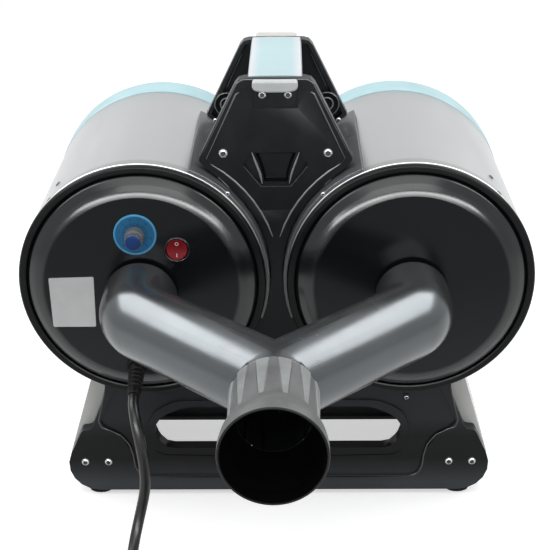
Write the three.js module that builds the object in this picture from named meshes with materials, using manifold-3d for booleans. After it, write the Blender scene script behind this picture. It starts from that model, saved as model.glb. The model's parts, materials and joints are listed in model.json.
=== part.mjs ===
// Double-drum pet grooming dryer.
// Millimetres, +Z up. The model stands on z = 0, the outlet faces -Y and the drums lie along Y.
// Pieces of the machine are drawn around the point midway between the two drum axes, in the plane of
// the drums' front rims, and one group then lifts and shifts them onto the floor.

import * as THREE from 'three';
import { mergeVertices } from 'three/addons/utils/BufferGeometryUtils.js';
import Module from 'manifold-3d';

const wasm = await Module();
wasm.setup();

// ---------------------------------------------------------------- driving dimensions
const drumRadius = 100;
const drumWall = 1.2;
const drumLength = 210;
const drumClearance = 18; // between the two drums
const drumSpacing = 2 * drumRadius + drumClearance; // between the two drum axes
const halfSpacing = drumSpacing / 2;

const fitGap = 0.3; // between pieces that seat on each other
const slideGap = 0.5; // between pieces that slide over each other
const turnGap = 0.15; // between pieces that turn in each other
const drumGap = 0.6; // around a drum, to its saddle and cradles

const plateDepth = 12;
const plateWall = 5;
const plateRim = 3.5;
const plateFront = 15; // from the drums' front rims back to the front plate
const plateSpan = 136; // over both end plates
const handleRise = 65.2; // of the plates' top above the drums
const standHeight = 109.2; // of the drums above the plates' lower edge
const plateTop = drumRadius + handleRise; // heights are from the drum axes
const plateBottom = -drumRadius - standHeight;
const plateTopHalf = 29;
const shoulderHalf = halfSpacing - 47;
const shoulderHeight = drumRadius - 2;
const earRadius = 26;
const earCentreX = halfSpacing + 49.5;
const earCentreZ = plateBottom + earRadius;
const fieldDepth = 2;
const beadWidth = 6;

const windowHalf = halfSpacing - 0.2;
const windowTop = -drumRadius - 25.5;
const windowBottom = windowTop - 41;
const funnelFoot = drumRadius - 23.5; // lower end of the funnel pocket
const funnelHeight = 28.5;
const bossRadius = 10;
const cornerBoss = [41.7, drumRadius + 4]; // under a plate's corner screw
const earBosses = [earCentreX - 9, earCentreX + 11.3]; // under the ears' screws
const earBossZ = plateBottom + 29.2;

const saddleWall = 2.9;
const saddleOverhang = 12; // past each plate, towards the drum ends
const coverWall = 3;

const footLength = 21;
const footWidth = 11;
const footHeight = 4;

const gripWidth = 42;
const gripHeight = 28;
const inlayWidth = 39;
const inlayThickness = 2.6;
const capWidth = 36;
const capHeight = 13;
const capDepth = 10.5;

const bezelWidth = 6.3;
const bezelDepth = 5.2;
const coverRise = 14; // flat face of a front cover ahead of the rim plane
const coverFlatRadius = drumRadius - 23;
const coverEdgeRadius = drumRadius - 14; // where the slope meets the rounded shoulder
const coverThickness = 2.5;

const pipeRadius = 29.6;
const pipeWall = 2.2;
const pipeDrop = -5; // pipe axis against the drum axis
const neckReach = 26; // of a front cover's neck ahead of its flat face
const elbowReach = 61; // from the rim plane forward to the elbow's corner
const armAngle = 45; // of the arms against the drum axes, in degrees
const armTurn = THREE.MathUtils.degToRad(armAngle);
const elbowSoftness = pipeRadius * Math.tan(armTurn / 2) + 1.24; // rounded this far from the mitre

const couplingLength = 82;
const couplingRadius = pipeRadius + 1.4;
const couplingWall = 2.7;
const mouthRadius = couplingRadius + 5.6;
const mouthBore = mouthRadius - 2.2;
const crotchGap = 0.74; // between the coupling and the fork of the arms
const fluteCount = 12;
const stubOverlap = 32; // of the outlet stub inside the coupling

const rearCapDepth = 40;
const rearCapWall = 2.6;
const rearCapOverlap = 2.6; // of the cap over the drum's end
const rearCapRound = 14;
const grilleInner = 30;
const grilleOuter = drumRadius - 22;
const grilleSlots = 18;
const grilleSlotWidth = 7.5;

const filterRadius = drumRadius - 10;
const filterThickness = 12;

const mountRear = 124; // rear face of the motor mount, behind the rim plane
const mountThickness = 6;
const fanRadius = 58;
const fanDepth = 34;
const fanWall = 2;
const fanEye = 21;
const impellerRadius = fanRadius - fanWall - 4;
const impellerDepth = 13;
const bladeCount = 6;
const shaftRadius = 4;
const armatureRadius = 25;
const statorRadius = 39;
const statorLength = 42;
const airGap = 1;
const frameWall = 2.4;

const dialRadius = 17.2;
const dialThickness = 1.2;
const knobRadius = 7.9;
const knobTipRadius = 6.3;
const knobLength = 16;
const knobShaftRadius = 3;
const dialX = -2.7; // controls are placed from the left drum's axis
const dialZ = 46.9;
const rockerX = 30.2;
const rockerZ = 34.5;
const rockerRadius = 8.4;
const bezelRadius = 10.8;
const rockerTilt = 10; // each side of level, in degrees

const cordDiameter = 9;
const glandX = -7;
const glandZ = -71;
const glandRadius = 6.5;
const bootLength = 32;
const bootTilt = 20; // below level, in degrees

const coilInnerRadius = 38.5;
const coilPitch = cordDiameter + 1;
const coilTurnsPerLayer = 2.375;
const coilSides = 6;
const coilStepsPerTurn = 23;
const coilTail = 34;
const floorLift = 0.2;
const coilLead = 13; // straight run before the first turn

const plugRadius = 18.2;
const plugLength = 34;
const plugBoot = 24;
const pinRadius = 2.4;
const pinLength = 19;
const pinSpacing = 19;

const drumSides = 32;
const pipeSides = 24;
const motorSides = 16;
const smallSides = 12;
const MERGE_DISTANCE = 1e-4;

// ---------------------------------------------------------------- derived places
const plateRear = plateFront + plateSpan;
const gripZ = plateTop - gripHeight / 2;
const axisHeight = -plateBottom + footHeight;
const coverFace = -coverRise;
const junctionY = -elbowReach - halfSpacing / Math.tan(armTurn);
const forkReach = pipeRadius / Math.sin(armTurn) - couplingRadius + couplingWall;
const couplingBack = junctionY - forkReach - crotchGap;
const mouthY = couplingBack - couplingLength;
const capFace = drumLength + rearCapDepth;
const centreY = (mouthY + capFace) / 2;
const neckRadius = pipeRadius - pipeWall - slideGap;

// ---------------------------------------------------------------- geometry helpers
// One closed mesh of shared vertices, without slivers and with its faces pointing out.
function closed(geometry) {
  const bare = geometry.clone();
  bare.deleteAttribute('normal');
  bare.deleteAttribute('uv');
  const merged = mergeVertices(bare, MERGE_DISTANCE);
  const place = merged.attributes.position;
  const index = merged.index.array;
  const kept = [];
  const corner = [new THREE.Vector3(), new THREE.Vector3(), new THREE.Vector3()];
  let volume = 0;
  for (let i = 0; i < index.length; i += 3) {
    const [a, b, c] = [index[i], index[i + 1], index[i + 2]];
    if (a === b || b === c || c === a) continue;
    kept.push(a, b, c);
    corner.forEach((v, k) => v.fromBufferAttribute(place, [a, b, c][k]));
    volume += corner[0].dot(corner[1].cross(corner[2]));
  }
  merged.setIndex(volume < 0 ? kept.reverse() : kept);
  return merged;
}

function toSolid(geometry) {
  const mesh = closed(geometry);
  return new wasm.Manifold(new wasm.Mesh({
    numProp: 3,
    vertProperties: new Float32Array(mesh.attributes.position.array),
    triVerts: new Uint32Array(mesh.index.array),
  }));
}

function toGeometry(solid) {
  const mesh = solid.getMesh();
  const geometry = new THREE.BufferGeometry();
  geometry.setAttribute('position', new THREE.BufferAttribute(mesh.vertProperties, 3));
  geometry.setIndex(new THREE.BufferAttribute(mesh.triVerts, 1));
  return geometry;
}

function join(...geometries) {
  return toGeometry(geometries.map(toSolid).reduce((sum, piece) => sum.add(piece)));
}

function cut(geometry, ...tools) {
  return toGeometry(tools.map(toSolid).reduce((rest, tool) => rest.subtract(tool), toSolid(geometry)));
}

function common(a, b) {
  return toGeometry(toSolid(a).intersect(toSolid(b)));
}

function at(geometry, x, y, z) {
  return geometry.clone().translate(x, y, z);
}

function mirroredX(geometry) {
  return closed(geometry.clone().scale(-1, 1, 1));
}

// A cylinder along Y from y0 to y1.
function rod(radius, y0, y1, sides = smallSides, endRadius = radius) {
  return new THREE.CylinderGeometry(endRadius, radius, y1 - y0, sides).translate(0, (y0 + y1) / 2, 0);
}

// A ring along Y: radii inner and outer, from y0 to y1.
function ring(inner, outer, y0, y1, sides = smallSides) {
  return revolve([[inner, y0], [outer, y0], [outer, y1], [inner, y1], [inner, y0]], sides);
}

// A profile of [radius, y] turned about the Y axis.
function revolve(profile, sides = smallSides) {
  return new THREE.LatheGeometry(profile.map(([r, y]) => new THREE.Vector2(r, y)), sides);
}

function box(x0, x1, y0, y1, z0, z1) {
  return new THREE.BoxGeometry(x1 - x0, y1 - y0, z1 - z0)
    .translate((x0 + x1) / 2, (y0 + y1) / 2, (z0 + z1) / 2);
}

// An outline in X and Z, extruded from y0 back to y1.
function prism(outline, y0, y1, options = {}) {
  const shape = Array.isArray(outline)
    ? new THREE.Shape(outline.map(([x, z]) => new THREE.Vector2(x, z)))
    : outline;
  const plain = { depth: y1 - y0, bevelEnabled: false, curveSegments: 2 };
  return new THREE.ExtrudeGeometry(shape, { ...plain, ...options })
    .rotateX(Math.PI / 2).translate(0, y1, 0);
}

// Points on an arc in X and Z, angles in degrees.
function arc(cx, cz, radius, from, to, steps) {
  return Array.from({ length: steps + 1 }, (_, i) => {
    const angle = THREE.MathUtils.degToRad(from + (to - from) * i / steps);
    return [cx + radius * Math.cos(angle), cz + radius * Math.sin(angle)];
  });
}

// Right-hand outline points joined to their mirror images on the left.
function symmetric(right) {
  const left = right.filter(([x]) => Math.abs(x) > 1e-9).map(([x, ...rest]) => [-x, ...rest]).reverse();
  return [...right, ...left];
}

// Moves every edge of a clockwise outline inwards by a distance, and keeps the corners' radii.
function inset(corners, distance) {
  const count = corners.length;
  return corners.map((corner, i) => {
    const before = corners[(i + count - 1) % count];
    const after = corners[(i + 1) % count];
    const u = new THREE.Vector2(corner[0] - before[0], corner[1] - before[1]).normalize();
    const v = new THREE.Vector2(after[0] - corner[0], after[1] - corner[1]).normalize();
    const n = new THREE.Vector2(u.y, -u.x);
    const m = new THREE.Vector2(v.y, -v.x);
    const share = distance / (1 + n.dot(m));
    const radius = Math.max((corner[2] ?? 0) - distance, 0);
    return [corner[0] + share * (n.x + m.x), corner[1] + share * (n.y + m.y), radius];
  });
}

// The same corners without their rounding.
function sharp(corners) {
  return corners.map(([x, z]) => [x, z]);
}

// A shape through corners [x, z, radius], rounded where a radius is given.
function roundedShape(corners) {
  const shape = new THREE.Shape();
  corners.forEach(([x, z, radius = 0], i) => {
    const before = corners[(i + corners.length - 1) % corners.length];
    const after = corners[(i + 1) % corners.length];
    const toBefore = new THREE.Vector2(before[0] - x, before[1] - z);
    const toAfter = new THREE.Vector2(after[0] - x, after[1] - z);
    const room = 0.48 * Math.min(toBefore.length(), toAfter.length());
    const turn = Math.PI - Math.acos(THREE.MathUtils.clamp(toBefore.clone().normalize()
      .dot(toAfter.clone().normalize()), -1, 1));
    const back = Math.min(radius * Math.tan(turn / 2), room);
    const [a, b] = [toBefore.setLength(back), toAfter.setLength(back)];
    if (i === 0) shape.moveTo(x + a.x, z + a.y);
    else shape.lineTo(x + a.x, z + a.y);
    if (back > 0.05) shape.quadraticCurveTo(x, z, x + b.x, z + b.y);
  });
  shape.closePath();
  return shape;
}

// A closed tube through rings of points, with flat ends.
function loft(rings) {
  const sides = rings[0].length;
  const positions = rings.flat().flatMap((p) => [p.x, p.y, p.z]);
  const index = [];
  for (let i = 0; i + 1 < rings.length; i++) {
    for (let j = 0; j < sides; j++) {
      const [a, b] = [i * sides + j, i * sides + (j + 1) % sides];
      index.push(a, b, b + sides, a, b + sides, a + sides);
    }
  }
  const last = (rings.length - 1) * sides;
  for (let j = 1; j + 1 < sides; j++) {
    index.push(0, j + 1, j, last, last + j, last + j + 1);
  }
  const geometry = new THREE.BufferGeometry();
  geometry.setAttribute('position', new THREE.Float32BufferAttribute(positions, 3));
  geometry.setIndex(index);
  return geometry;
}

// A ring of points of a tube where it is cut by a plane.
function cutRing(centre, direction, normal, radius, sides) {
  const up = new THREE.Vector3(0, 0, 1);
  const side = new THREE.Vector3().crossVectors(direction, up).normalize();
  return Array.from({ length: sides }, (_, i) => {
    const angle = 2 * Math.PI * i / sides;
    const point = side.clone().multiplyScalar(radius * Math.cos(angle));
    point.addScaledVector(up, radius * Math.sin(angle));
    const along = -point.dot(normal) / direction.dot(normal);
    return point.addScaledVector(direction, along).add(centre);
  });
}

// ---------------------------------------------------------------- end plates
// The drum arc of a plate runs from where the shoulder's edge touches it, round the waist and under
// the drum, to the tip above the ear.
const plateArcRadius = drumRadius + drumGap + saddleWall + slideGap;
const plateTipAngle = 292;

function drumArc(radius, from, to, steps) {
  return arc(halfSpacing, 0, radius, from, to, steps);
}

function plateCorners() {
  const shoulder = new THREE.Vector2(shoulderHalf - halfSpacing, shoulderHeight);
  const touch = THREE.MathUtils.radToDeg(shoulder.angle() + Math.acos(plateArcRadius / shoulder.length()));
  const steps = 14;
  const halfStep = THREE.MathUtils.degToRad((plateTipAngle - touch) / steps / 2);
  return symmetric([
    [plateTopHalf, plateTop, 9],
    [shoulderHalf, shoulderHeight, 4],
    ...drumArc(plateArcRadius / Math.cos(halfStep), touch, plateTipAngle, steps),
    [halfSpacing + 39.8, -drumRadius - 13, 10],
    [earCentreX + 4, earCentreZ + 35, 6],
    [earCentreX + 12.8, earCentreZ + 34.2, 4],
    ...arc(earCentreX, earCentreZ, earRadius, 25, -90, 6),
  ]);
}

function windowCorners(grow) {
  const middle = (windowTop + windowBottom) / 2;
  return symmetric([
    [windowHalf - 29 + grow, windowTop + grow, 30],
    [windowHalf - 6 + grow, windowTop - 10 + grow, 22],
    [windowHalf + grow, middle - 4, 14],
    [windowHalf - 10 + grow, windowBottom - grow, 14],
  ]);
}

// The sunk field around the window, above the band that joins the ears.
function lowerField() {
  return symmetric([
    ...drumArc(plateArcRadius + 8, 214, 286, 6),
    [halfSpacing + 35, -drumRadius - 16, 5],
    [earCentreX - 3, earCentreZ + 42.2, 6],
    [earCentreX - 22, earCentreZ + 27.2, 16],
    [earCentreX - 31, earCentreZ + 11.2, 16],
    [earCentreX - 36, earCentreZ - 11.8, 10],
  ]);
}

// The sunk field between the slanted sides, ending in a point above the waist.
function upperField() {
  return symmetric([
    [plateTopHalf - 1.5, plateTop - 9, 4],
    [shoulderHalf - beadWidth, shoulderHeight + 1, 2],
    ...drumArc(plateArcRadius + 7, 123, 150, 4),
  ]);
}

// The funnel pocket: a shallow six-sided recess with a deep throat between two curved walls.
function funnelRecess() {
  return symmetric([
    [19.5, funnelFoot + funnelHeight, 1],
    [26, funnelFoot + funnelHeight - 11, 1],
    [12, funnelFoot, 1],
  ]);
}

function funnelThroat(face, depth) {
  const shares = [0, 0.25, 0.5, 0.75, 1];
  const high = funnelHeight - 0.8;
  const middle = funnelFoot + funnelHeight / 2;
  const outline = symmetric(shares.map((t) => [10.5 + 3.5 * t + 4.5 * t * t, funnelFoot + 0.4 + high * t]));
  const drawn = (z, draw) => middle + (z - middle) * draw;
  const ringAt = (y, draw) => outline.map(([x, z]) => new THREE.Vector3(x * draw, y, drawn(z, draw)));
  return loft([ringAt(face - 1, 1.04), ringAt(face + depth, 0.74)]);
}

function endPlate() {
  const corners = plateCorners();
  const face = plateFront;
  const wallBack = face + plateWall;
  const back = face + plateDepth;
  const slab = prism(roundedShape(corners), face, back);
  const onBothSides = (geometry) => [geometry, mirroredX(geometry)];
  const boss = (radius, sides, x, z) => onBothSides(at(rod(radius, wallBack - 1, back + 2, sides), x, 0, z));
  const ribX = halfSpacing + 16;
  const gripHalf = gripWidth / 2 + fitGap;
  const rimPocket = cut(
    prism(sharp(inset(corners, plateRim)), wallBack, back + 1),
    prism(roundedShape(windowCorners(plateRim)), wallBack - 1, back + 2),
    box(-30, 30, wallBack - 1, back + 2, funnelFoot - 4.5, funnelFoot + funnelHeight + 4),
    ...boss(bossRadius, smallSides, ...cornerBoss),
    ...onBothSides(box(ribX - 1.5, ribX + 1.5, wallBack - 1, back + 2, plateBottom + 4.2, -drumRadius)),
    ...earBosses.flatMap((x) => boss(bossRadius / 2, 8, x, earBossZ)),
  );
  const sunk = cut(
    prism(roundedShape(lowerField()), face - 1, face + fieldDepth),
    prism(roundedShape(windowCorners(beadWidth)), face - 2, face + fieldDepth + 1),
  );
  return cut(
    slab,
    rimPocket,
    prism(roundedShape(windowCorners(0)), face - 1, back + 1),
    sunk,
    prism(roundedShape(upperField()), face - 1, face + 1.2),
    prism(roundedShape(funnelRecess()), face - 1, face + 4.5),
    funnelThroat(face, 9.5),
    box(-capWidth / 2 + 0.5, capWidth / 2 - 0.5, face - 1, face + 3, plateTop - 24.5, plateTop - 9.5),
    box(-gripHalf, gripHalf, wallBack, back + 1, plateTop - gripHeight - 1, plateTop + 1),
  );
}

// ---------------------------------------------------------------- saddle, side covers, handle, feet
const plateInside = plateFront + plateDepth + fitGap;
const plateInsideRear = plateRear - plateDepth - fitGap;

// Two sheets that hug the drums' inner flanks, tied between the plates by a top and a bottom web.
function saddle() {
  const inner = drumRadius + drumGap;
  const sheet = (side) => {
    const outline = [...drumArc(inner, 113, 200, 12), ...drumArc(inner + saddleWall, 200, 113, 12)];
    const whole = prism(outline, plateFront - saddleOverhang, plateRear + saddleOverhang);
    return side > 0 ? whole : mirroredX(whole);
  };
  const round = rod(inner + saddleWall / 2, 0, drumLength, 2 * drumSides);
  const rounds = [at(round, halfSpacing, 0, 0), at(round, -halfSpacing, 0, 0)];
  const webTop = drumRadius - 19.5;
  const web = (z) => cut(
    box(-halfSpacing, halfSpacing, plateInside, plateInsideRear, z - 4, z),
    ...rounds,
  );
  const middle = plateFront + plateSpan / 2;
  const rib = cut(
    box(-halfSpacing, halfSpacing, middle - 1.5, middle + 1.5, -8, webTop - 2.5),
    ...rounds,
    at(rod(9, 0, drumLength, pipeSides), 0, 0, webTop - 25.5),
  );
  return join(sheet(1), sheet(-1), web(webTop), web(-8), rib);
}

// A bent sheet from under the drum, out to the flank and down round the ear.
function sideCover() {
  const innerArc = drumRadius + drumGap;
  const outside = [
    ...drumArc(innerArc, 272, 298.5, 6),
    ...arc(earCentreX, earCentreZ, earRadius, 13, -90, 8),
    [earCentreX - 12, plateBottom],
  ];
  const inside = [
    [earCentreX - 12, plateBottom + coverWall],
    ...arc(earCentreX, earCentreZ, earRadius - coverWall, -90, 13, 8),
    ...drumArc(innerArc + coverWall, 295.5, 272, 6),
  ];
  return prism([...outside, ...inside], plateInside, plateInsideRear);
}

function handleGrip() {
  const half = gripWidth / 2;
  const bottom = plateTop - gripHeight;
  const outline = symmetric([
    [inlayWidth / 2 + fitGap, plateTop - inlayThickness],
    [inlayWidth / 2 + fitGap, plateTop, 0.3],
    [half, plateTop, 1.2],
    [half, bottom + 8, 9],
    [half - 8, bottom, 9],
  ]);
  return prism(roundedShape(outline), plateFront + plateWall + fitGap, plateRear - plateWall - fitGap);
}

function handleInlay() {
  const crown = 0.8;
  const outline = symmetric([
    [8, plateTop + crown, 30],
    [inlayWidth / 2, plateTop, 1],
    [inlayWidth / 2, plateTop - inlayThickness + fitGap],
  ]);
  return prism(roundedShape(outline), plateFront + plateWall + fitGap, plateRear - plateWall - fitGap);
}

// A domed cap that covers the handle's end on the outside of a plate.
function handleCap() {
  const swell = 3;
  const half = capWidth / 2 - swell;
  const outline = symmetric([
    [half, plateTop - swell, 1.5],
    [half, plateTop - capHeight + swell, 4],
  ]);
  const cap = prism(roundedShape(outline), plateFront - capDepth + swell, plateFront + 2 * swell, {
    bevelEnabled: true, bevelSize: swell, bevelThickness: swell, bevelSegments: 3,
  });
  const outdoors = box(
    -capWidth, capWidth, plateFront - 3 * capDepth, plateFront - fitGap,
    plateTop - 2 * capHeight, plateTop + capHeight,
  );
  return common(cap, outdoors);
}

// An oval rubber button, crowned below.
function foot() {
  const top = footHeight - fitGap;
  const profile = [[0, 0], [7.5, 0], [9.8, 1.4], [10.5, top], [0, top]];
  return revolve(profile, smallSides).rotateX(Math.PI / 2)
    .scale(footLength / 21, footWidth / 21, 1);
}

// ---------------------------------------------------------------- drums
function drumShell() {
  const inside = drumRadius - drumWall;
  return revolve([
    [inside, fitGap], [drumRadius + 0.6, fitGap], [drumRadius, fitGap + 2],
    [drumRadius, drumLength], [inside, drumLength], [inside, fitGap],
  ], drumSides);
}

// The black ring at the front rim, with a lip inside the shell.
function rimBezel() {
  const outer = drumRadius + 0.8;
  const inner = outer - bezelWidth;
  const lip = drumRadius - drumWall - fitGap;
  return revolve([
    [inner, -bezelDepth], [outer - 1.6, -bezelDepth], [outer, -bezelDepth + 1.6],
    [outer, 0], [lip, 0], [lip, 9], [inner, 9], [inner, -bezelDepth],
  ], drumSides);
}

const coverOuter = drumRadius + 0.8 - bezelWidth - fitGap;

// A shallow dome: a rounded skirt, a straight slope, a rounded shoulder and the flat face.
function frontCover() {
  const inner = coverOuter - coverThickness;
  const innerFace = coverFace + coverThickness;
  const shoulder = coverEdgeRadius - coverFlatRadius;
  const shell = revolve([
    [0, innerFace], [coverFlatRadius + 1, innerFace], [inner, -2], [inner, 9], [coverOuter, 9],
    [coverOuter, -1.2], [coverOuter - 1, -4], [coverOuter - 2.9, -6],
    [coverEdgeRadius, coverFace + 3.5], [coverEdgeRadius - 0.28 * shoulder, coverFace + 1.7],
    [coverEdgeRadius - 0.6 * shoulder, coverFace + 0.5], [coverFlatRadius, coverFace], [0, coverFace],
  ], drumSides);
  const neckEnd = coverFace - neckReach;
  const neck = rod(neckRadius, neckEnd, coverFace + 1, pipeSides);
  const bore = rod(neckRadius - 2, neckEnd - 1, innerFace + 1, pipeSides);
  return cut(join(shell, at(neck, 0, 0, pipeDrop)), at(bore, 0, 0, pipeDrop));
}

function leftFrontCover() {
  const hole = (x, z, radius, sides) => at(rod(radius, coverFace - 3, coverFace + 6, sides), x, 0, z);
  return cut(
    frontCover(),
    hole(dialX, dialZ, knobShaftRadius + 1),
    hole(rockerX, rockerZ, bezelRadius - 1 + fitGap, motorSides),
    hole(glandX, glandZ, glandRadius - 1.8 + fitGap),
  );
}

// A cup with a rounded rim and a wheel of intake slots.
function rearCap() {
  const over = drumRadius + slideGap;
  const outer = over + rearCapWall - 1.2;
  const back = capFace;
  const corner = (radius, reach, y, steps) => Array.from({ length: steps + 1 }, (_, i) => {
    const angle = Math.PI / 2 * i / steps;
    return [reach - radius + radius * Math.cos(angle), y - radius + radius * Math.sin(angle)];
  });
  const inside = corner(rearCapRound - rearCapWall, outer - rearCapWall, back - rearCapWall, 1).reverse();
  const cup = revolve([
    [0, back - rearCapWall], ...inside, [outer - rearCapWall, drumLength + fitGap],
    [over, drumLength + fitGap], [over, drumLength - rearCapOverlap], [outer, drumLength - rearCapOverlap],
    ...corner(rearCapRound, outer, back, 3), [0, back],
  ], drumSides);
  const half = grilleSlotWidth / 2;
  const slots = Array.from({ length: grilleSlots }, (_, i) => (
    box(-half, half, back - 6, back + 2, grilleInner, grilleOuter).rotateY(2 * Math.PI * i / grilleSlots)
  ));
  return cut(cup, ...slots);
}

function intakeFilter() {
  const front = capFace - rearCapWall - fitGap - filterThickness;
  return revolve([
    [0, front], [filterRadius - 3, front], [filterRadius, front + 3],
    [filterRadius, front + filterThickness - 3], [filterRadius - 3, front + filterThickness],
    [0, front + filterThickness],
  ], motorSides);
}

// ---------------------------------------------------------------- motors
const mountFront = mountRear - mountThickness;
const fanFront = mountRear - fanDepth;
const statorFront = fanFront - 6 - statorLength;
const impellerFront = fanFront + 7;

// The fan's case, with its eye at the rear, an open ring round the motor in front, and a flange that
// carries motor and fan in the drum.
function fanCase() {
  const eyeBack = mountRear + 8;
  const rim = (drumRadius - drumWall) * Math.cos(Math.PI / drumSides) - fitGap;
  const motorHole = statorRadius + frameWall + slideGap;
  return revolve([
    [motorHole, fanFront], [fanRadius, fanFront], [fanRadius, mountFront],
    [rim, mountFront], [rim, mountRear], [fanRadius, mountRear], [fanRadius - 8, eyeBack], [fanEye, eyeBack],
    [fanEye, eyeBack - fanWall], [fanRadius - fanWall, mountFront], [fanRadius - fanWall, fanFront + fanWall],
    [motorHole, fanFront + fanWall], [motorHole, fanFront],
  ], 20);
}

// Backward-curved blades between a back disc and a front shroud.
function impeller() {
  const y0 = impellerFront;
  const y1 = y0 + impellerDepth;
  const hubBore = shaftRadius + fitGap;
  const disc = ring(hubBore, impellerRadius, y0, y0 + 1.6, motorSides);
  const hub = ring(hubBore, shaftRadius + 5, y0 - 3, y1 - 1, 12);
  const shroud = ring(fanEye + 2, impellerRadius, y1 - 1.4, y1, motorSides);
  const sweep = 42;
  const blade = (turn) => {
    const centre = impellerRadius * 0.62;
    const outer = arc(0, 0, 30, -sweep, sweep, 2);
    const inner = arc(0, 0, 31.8, sweep, -sweep, 2);
    return prism([...outer, ...inner], y0 + 0.8, y1 - 0.7).translate(-30 + centre * 0.16, 0, centre)
      .rotateY(turn);
  };
  const blades = Array.from({ length: bladeCount }, (_, i) => blade(2 * Math.PI * i / bladeCount));
  const zone = ring(shaftRadius + 3, impellerRadius - 0.5, y0, y1, motorSides);
  const trimmed = common(join(...blades), zone);
  return join(disc, hub, shroud, trimmed);
}

function rotor() {
  const front = statorFront - 14;
  const core = statorFront + 3;
  return revolve([
    [0, front], [shaftRadius, front], [shaftRadius, front + 3], [11, front + 3], [11, core - 3],
    [armatureRadius - 6, core - 3],
    [armatureRadius, core], [armatureRadius, core + statorLength - 8],
    [armatureRadius - 6, core + statorLength - 5], [shaftRadius, core + statorLength - 5],
    [shaftRadius, impellerFront + impellerDepth + 2], [0, impellerFront + impellerDepth + 2],
  ], smallSides);
}

// The motor's open frame: a vented can with a bearing hole in front and the stator's core and windings
// inside, round the armature.
function motorFrame() {
  const outer = statorRadius + frameWall;
  const front = statorFront - 18;
  const end = statorFront + statorLength;
  const bore = armatureRadius + airGap;
  const can = revolve([
    [shaftRadius + 0.6, front], [outer - 8, front], [outer, front + 8], [outer, fanFront - fitGap],
    [statorRadius, fanFront - fitGap], [statorRadius, end + 1], [bore, end + 1], [bore, statorFront - 1],
    [statorRadius, statorFront - 1], [statorRadius, front + 9], [statorRadius - 7, front + frameWall],
    [shaftRadius + 0.6, front + frameWall], [shaftRadius + 0.6, front],
  ], motorSides);
  const vents = Array.from({ length: 3 }, (_, i) => (
    box(-outer - 5, outer + 5, front + 11, statorFront - 4, -8, 8).rotateY(Math.PI * i / 3)
  ));
  return cut(can, ...vents);
}

// ---------------------------------------------------------------- pipe and outlet coupling
// One side of the pipe: down the neck, round the mitred elbow and along the arm to the middle plane.
// Without softness the elbow is a plain mitre.
function pipeSide(radius, soft) {
  const start = new THREE.Vector3(halfSpacing, coverFace - 5.5, pipeDrop);
  const corner = new THREE.Vector3(halfSpacing, -elbowReach, pipeDrop);
  const end = new THREE.Vector3(0, junctionY, pipeDrop);
  const neckWay = new THREE.Vector3(0, -1, 0);
  const armWay = end.clone().sub(corner).normalize();
  const mitre = neckWay.clone().add(armWay).normalize();
  const first = cutRing(start, neckWay, neckWay, radius, pipeSides);
  const last = cutRing(end, armWay, new THREE.Vector3(-1, 0, 0), radius, pipeSides);
  if (!soft) return loft([first, cutRing(corner, neckWay, mitre, radius, pipeSides), last]);
  const middle = corner.clone().addScaledVector(neckWay, -soft * 0.22).addScaledVector(armWay, soft * 0.22);
  return loft([
    first,
    cutRing(corner.clone().addScaledVector(neckWay, -soft), neckWay, neckWay, radius, pipeSides),
    cutRing(middle, mitre, mitre, radius, pipeSides),
    cutRing(corner.clone().addScaledVector(armWay, soft), armWay, armWay, radius, pipeSides),
    last,
  ]);
}

function yPipe() {
  const inner = pipeRadius - pipeWall;
  const stubRadius = couplingRadius - couplingWall - slideGap;
  const stubEnd = couplingBack - stubOverlap;
  const neckBore = at(rod(inner, coverFace - 8, coverFace, pipeSides), halfSpacing, 0, pipeDrop);
  const outside = join(
    pipeSide(pipeRadius, elbowSoftness),
    mirroredX(pipeSide(pipeRadius, elbowSoftness)),
    at(rod(pipeRadius - 0.2, couplingBack + 1.2, junctionY + 2, pipeSides), 0, 0, pipeDrop),
    at(rod(stubRadius, stubEnd, junctionY, pipeSides), 0, 0, pipeDrop),
  );
  return cut(
    outside,
    join(pipeSide(inner, 0), mirroredX(pipeSide(inner, 0))),
    neckBore,
    mirroredX(neckBore),
    at(rod(stubRadius - pipeWall, stubEnd - 2, junctionY, pipeSides), 0, 0, pipeDrop),
  );
}

// A rubber sleeve over the outlet stub, fluted behind and flared to a rounded mouth.
function outletCoupling() {
  const back = couplingBack;
  const face = mouthY;
  const bore = couplingRadius - couplingWall;
  const seat = back - stubOverlap - 1;
  const sleeve = revolve([
    [bore, back], [couplingRadius - 1, back], [couplingRadius - 0.6, back - 50],
    [mouthRadius - 1, face + 16], [mouthRadius, face + 9],
    [mouthRadius, face + 2], [mouthRadius - 1.4, face], [mouthBore, face + 1], [mouthBore - 0.4, face + 14],
    [bore - 2.6, seat], [bore, seat], [bore, back],
  ], pipeSides).rotateY(Math.PI / pipeSides);
  const rib = (turn) => {
    const [top, point] = [back - 1.4, back - 53];
    const wedge = new THREE.Shape([
      new THREE.Vector2(-3.8, top), new THREE.Vector2(3.8, top), new THREE.Vector2(1, point),
      new THREE.Vector2(-1, point),
    ]);
    return new THREE.ExtrudeGeometry(wedge, { depth: 2.1, bevelEnabled: false })
      .translate(0, 0, couplingRadius - 1.5).rotateY(turn);
  };
  const ribs = Array.from({ length: fluteCount }, (_, i) => rib(2 * Math.PI * i / fluteCount));
  return join(sleeve, ...ribs);
}

// ---------------------------------------------------------------- controls
function dialPlate() {
  const front = coverFace - fitGap - dialThickness;
  return revolve([
    [knobShaftRadius + 1.4, front], [dialRadius - 0.4, front], [dialRadius, front + 0.4],
    [dialRadius, front + dialThickness], [knobShaftRadius + 1.4, front + dialThickness],
    [knobShaftRadius + 1.4, front],
  ], pipeSides);
}

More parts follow.
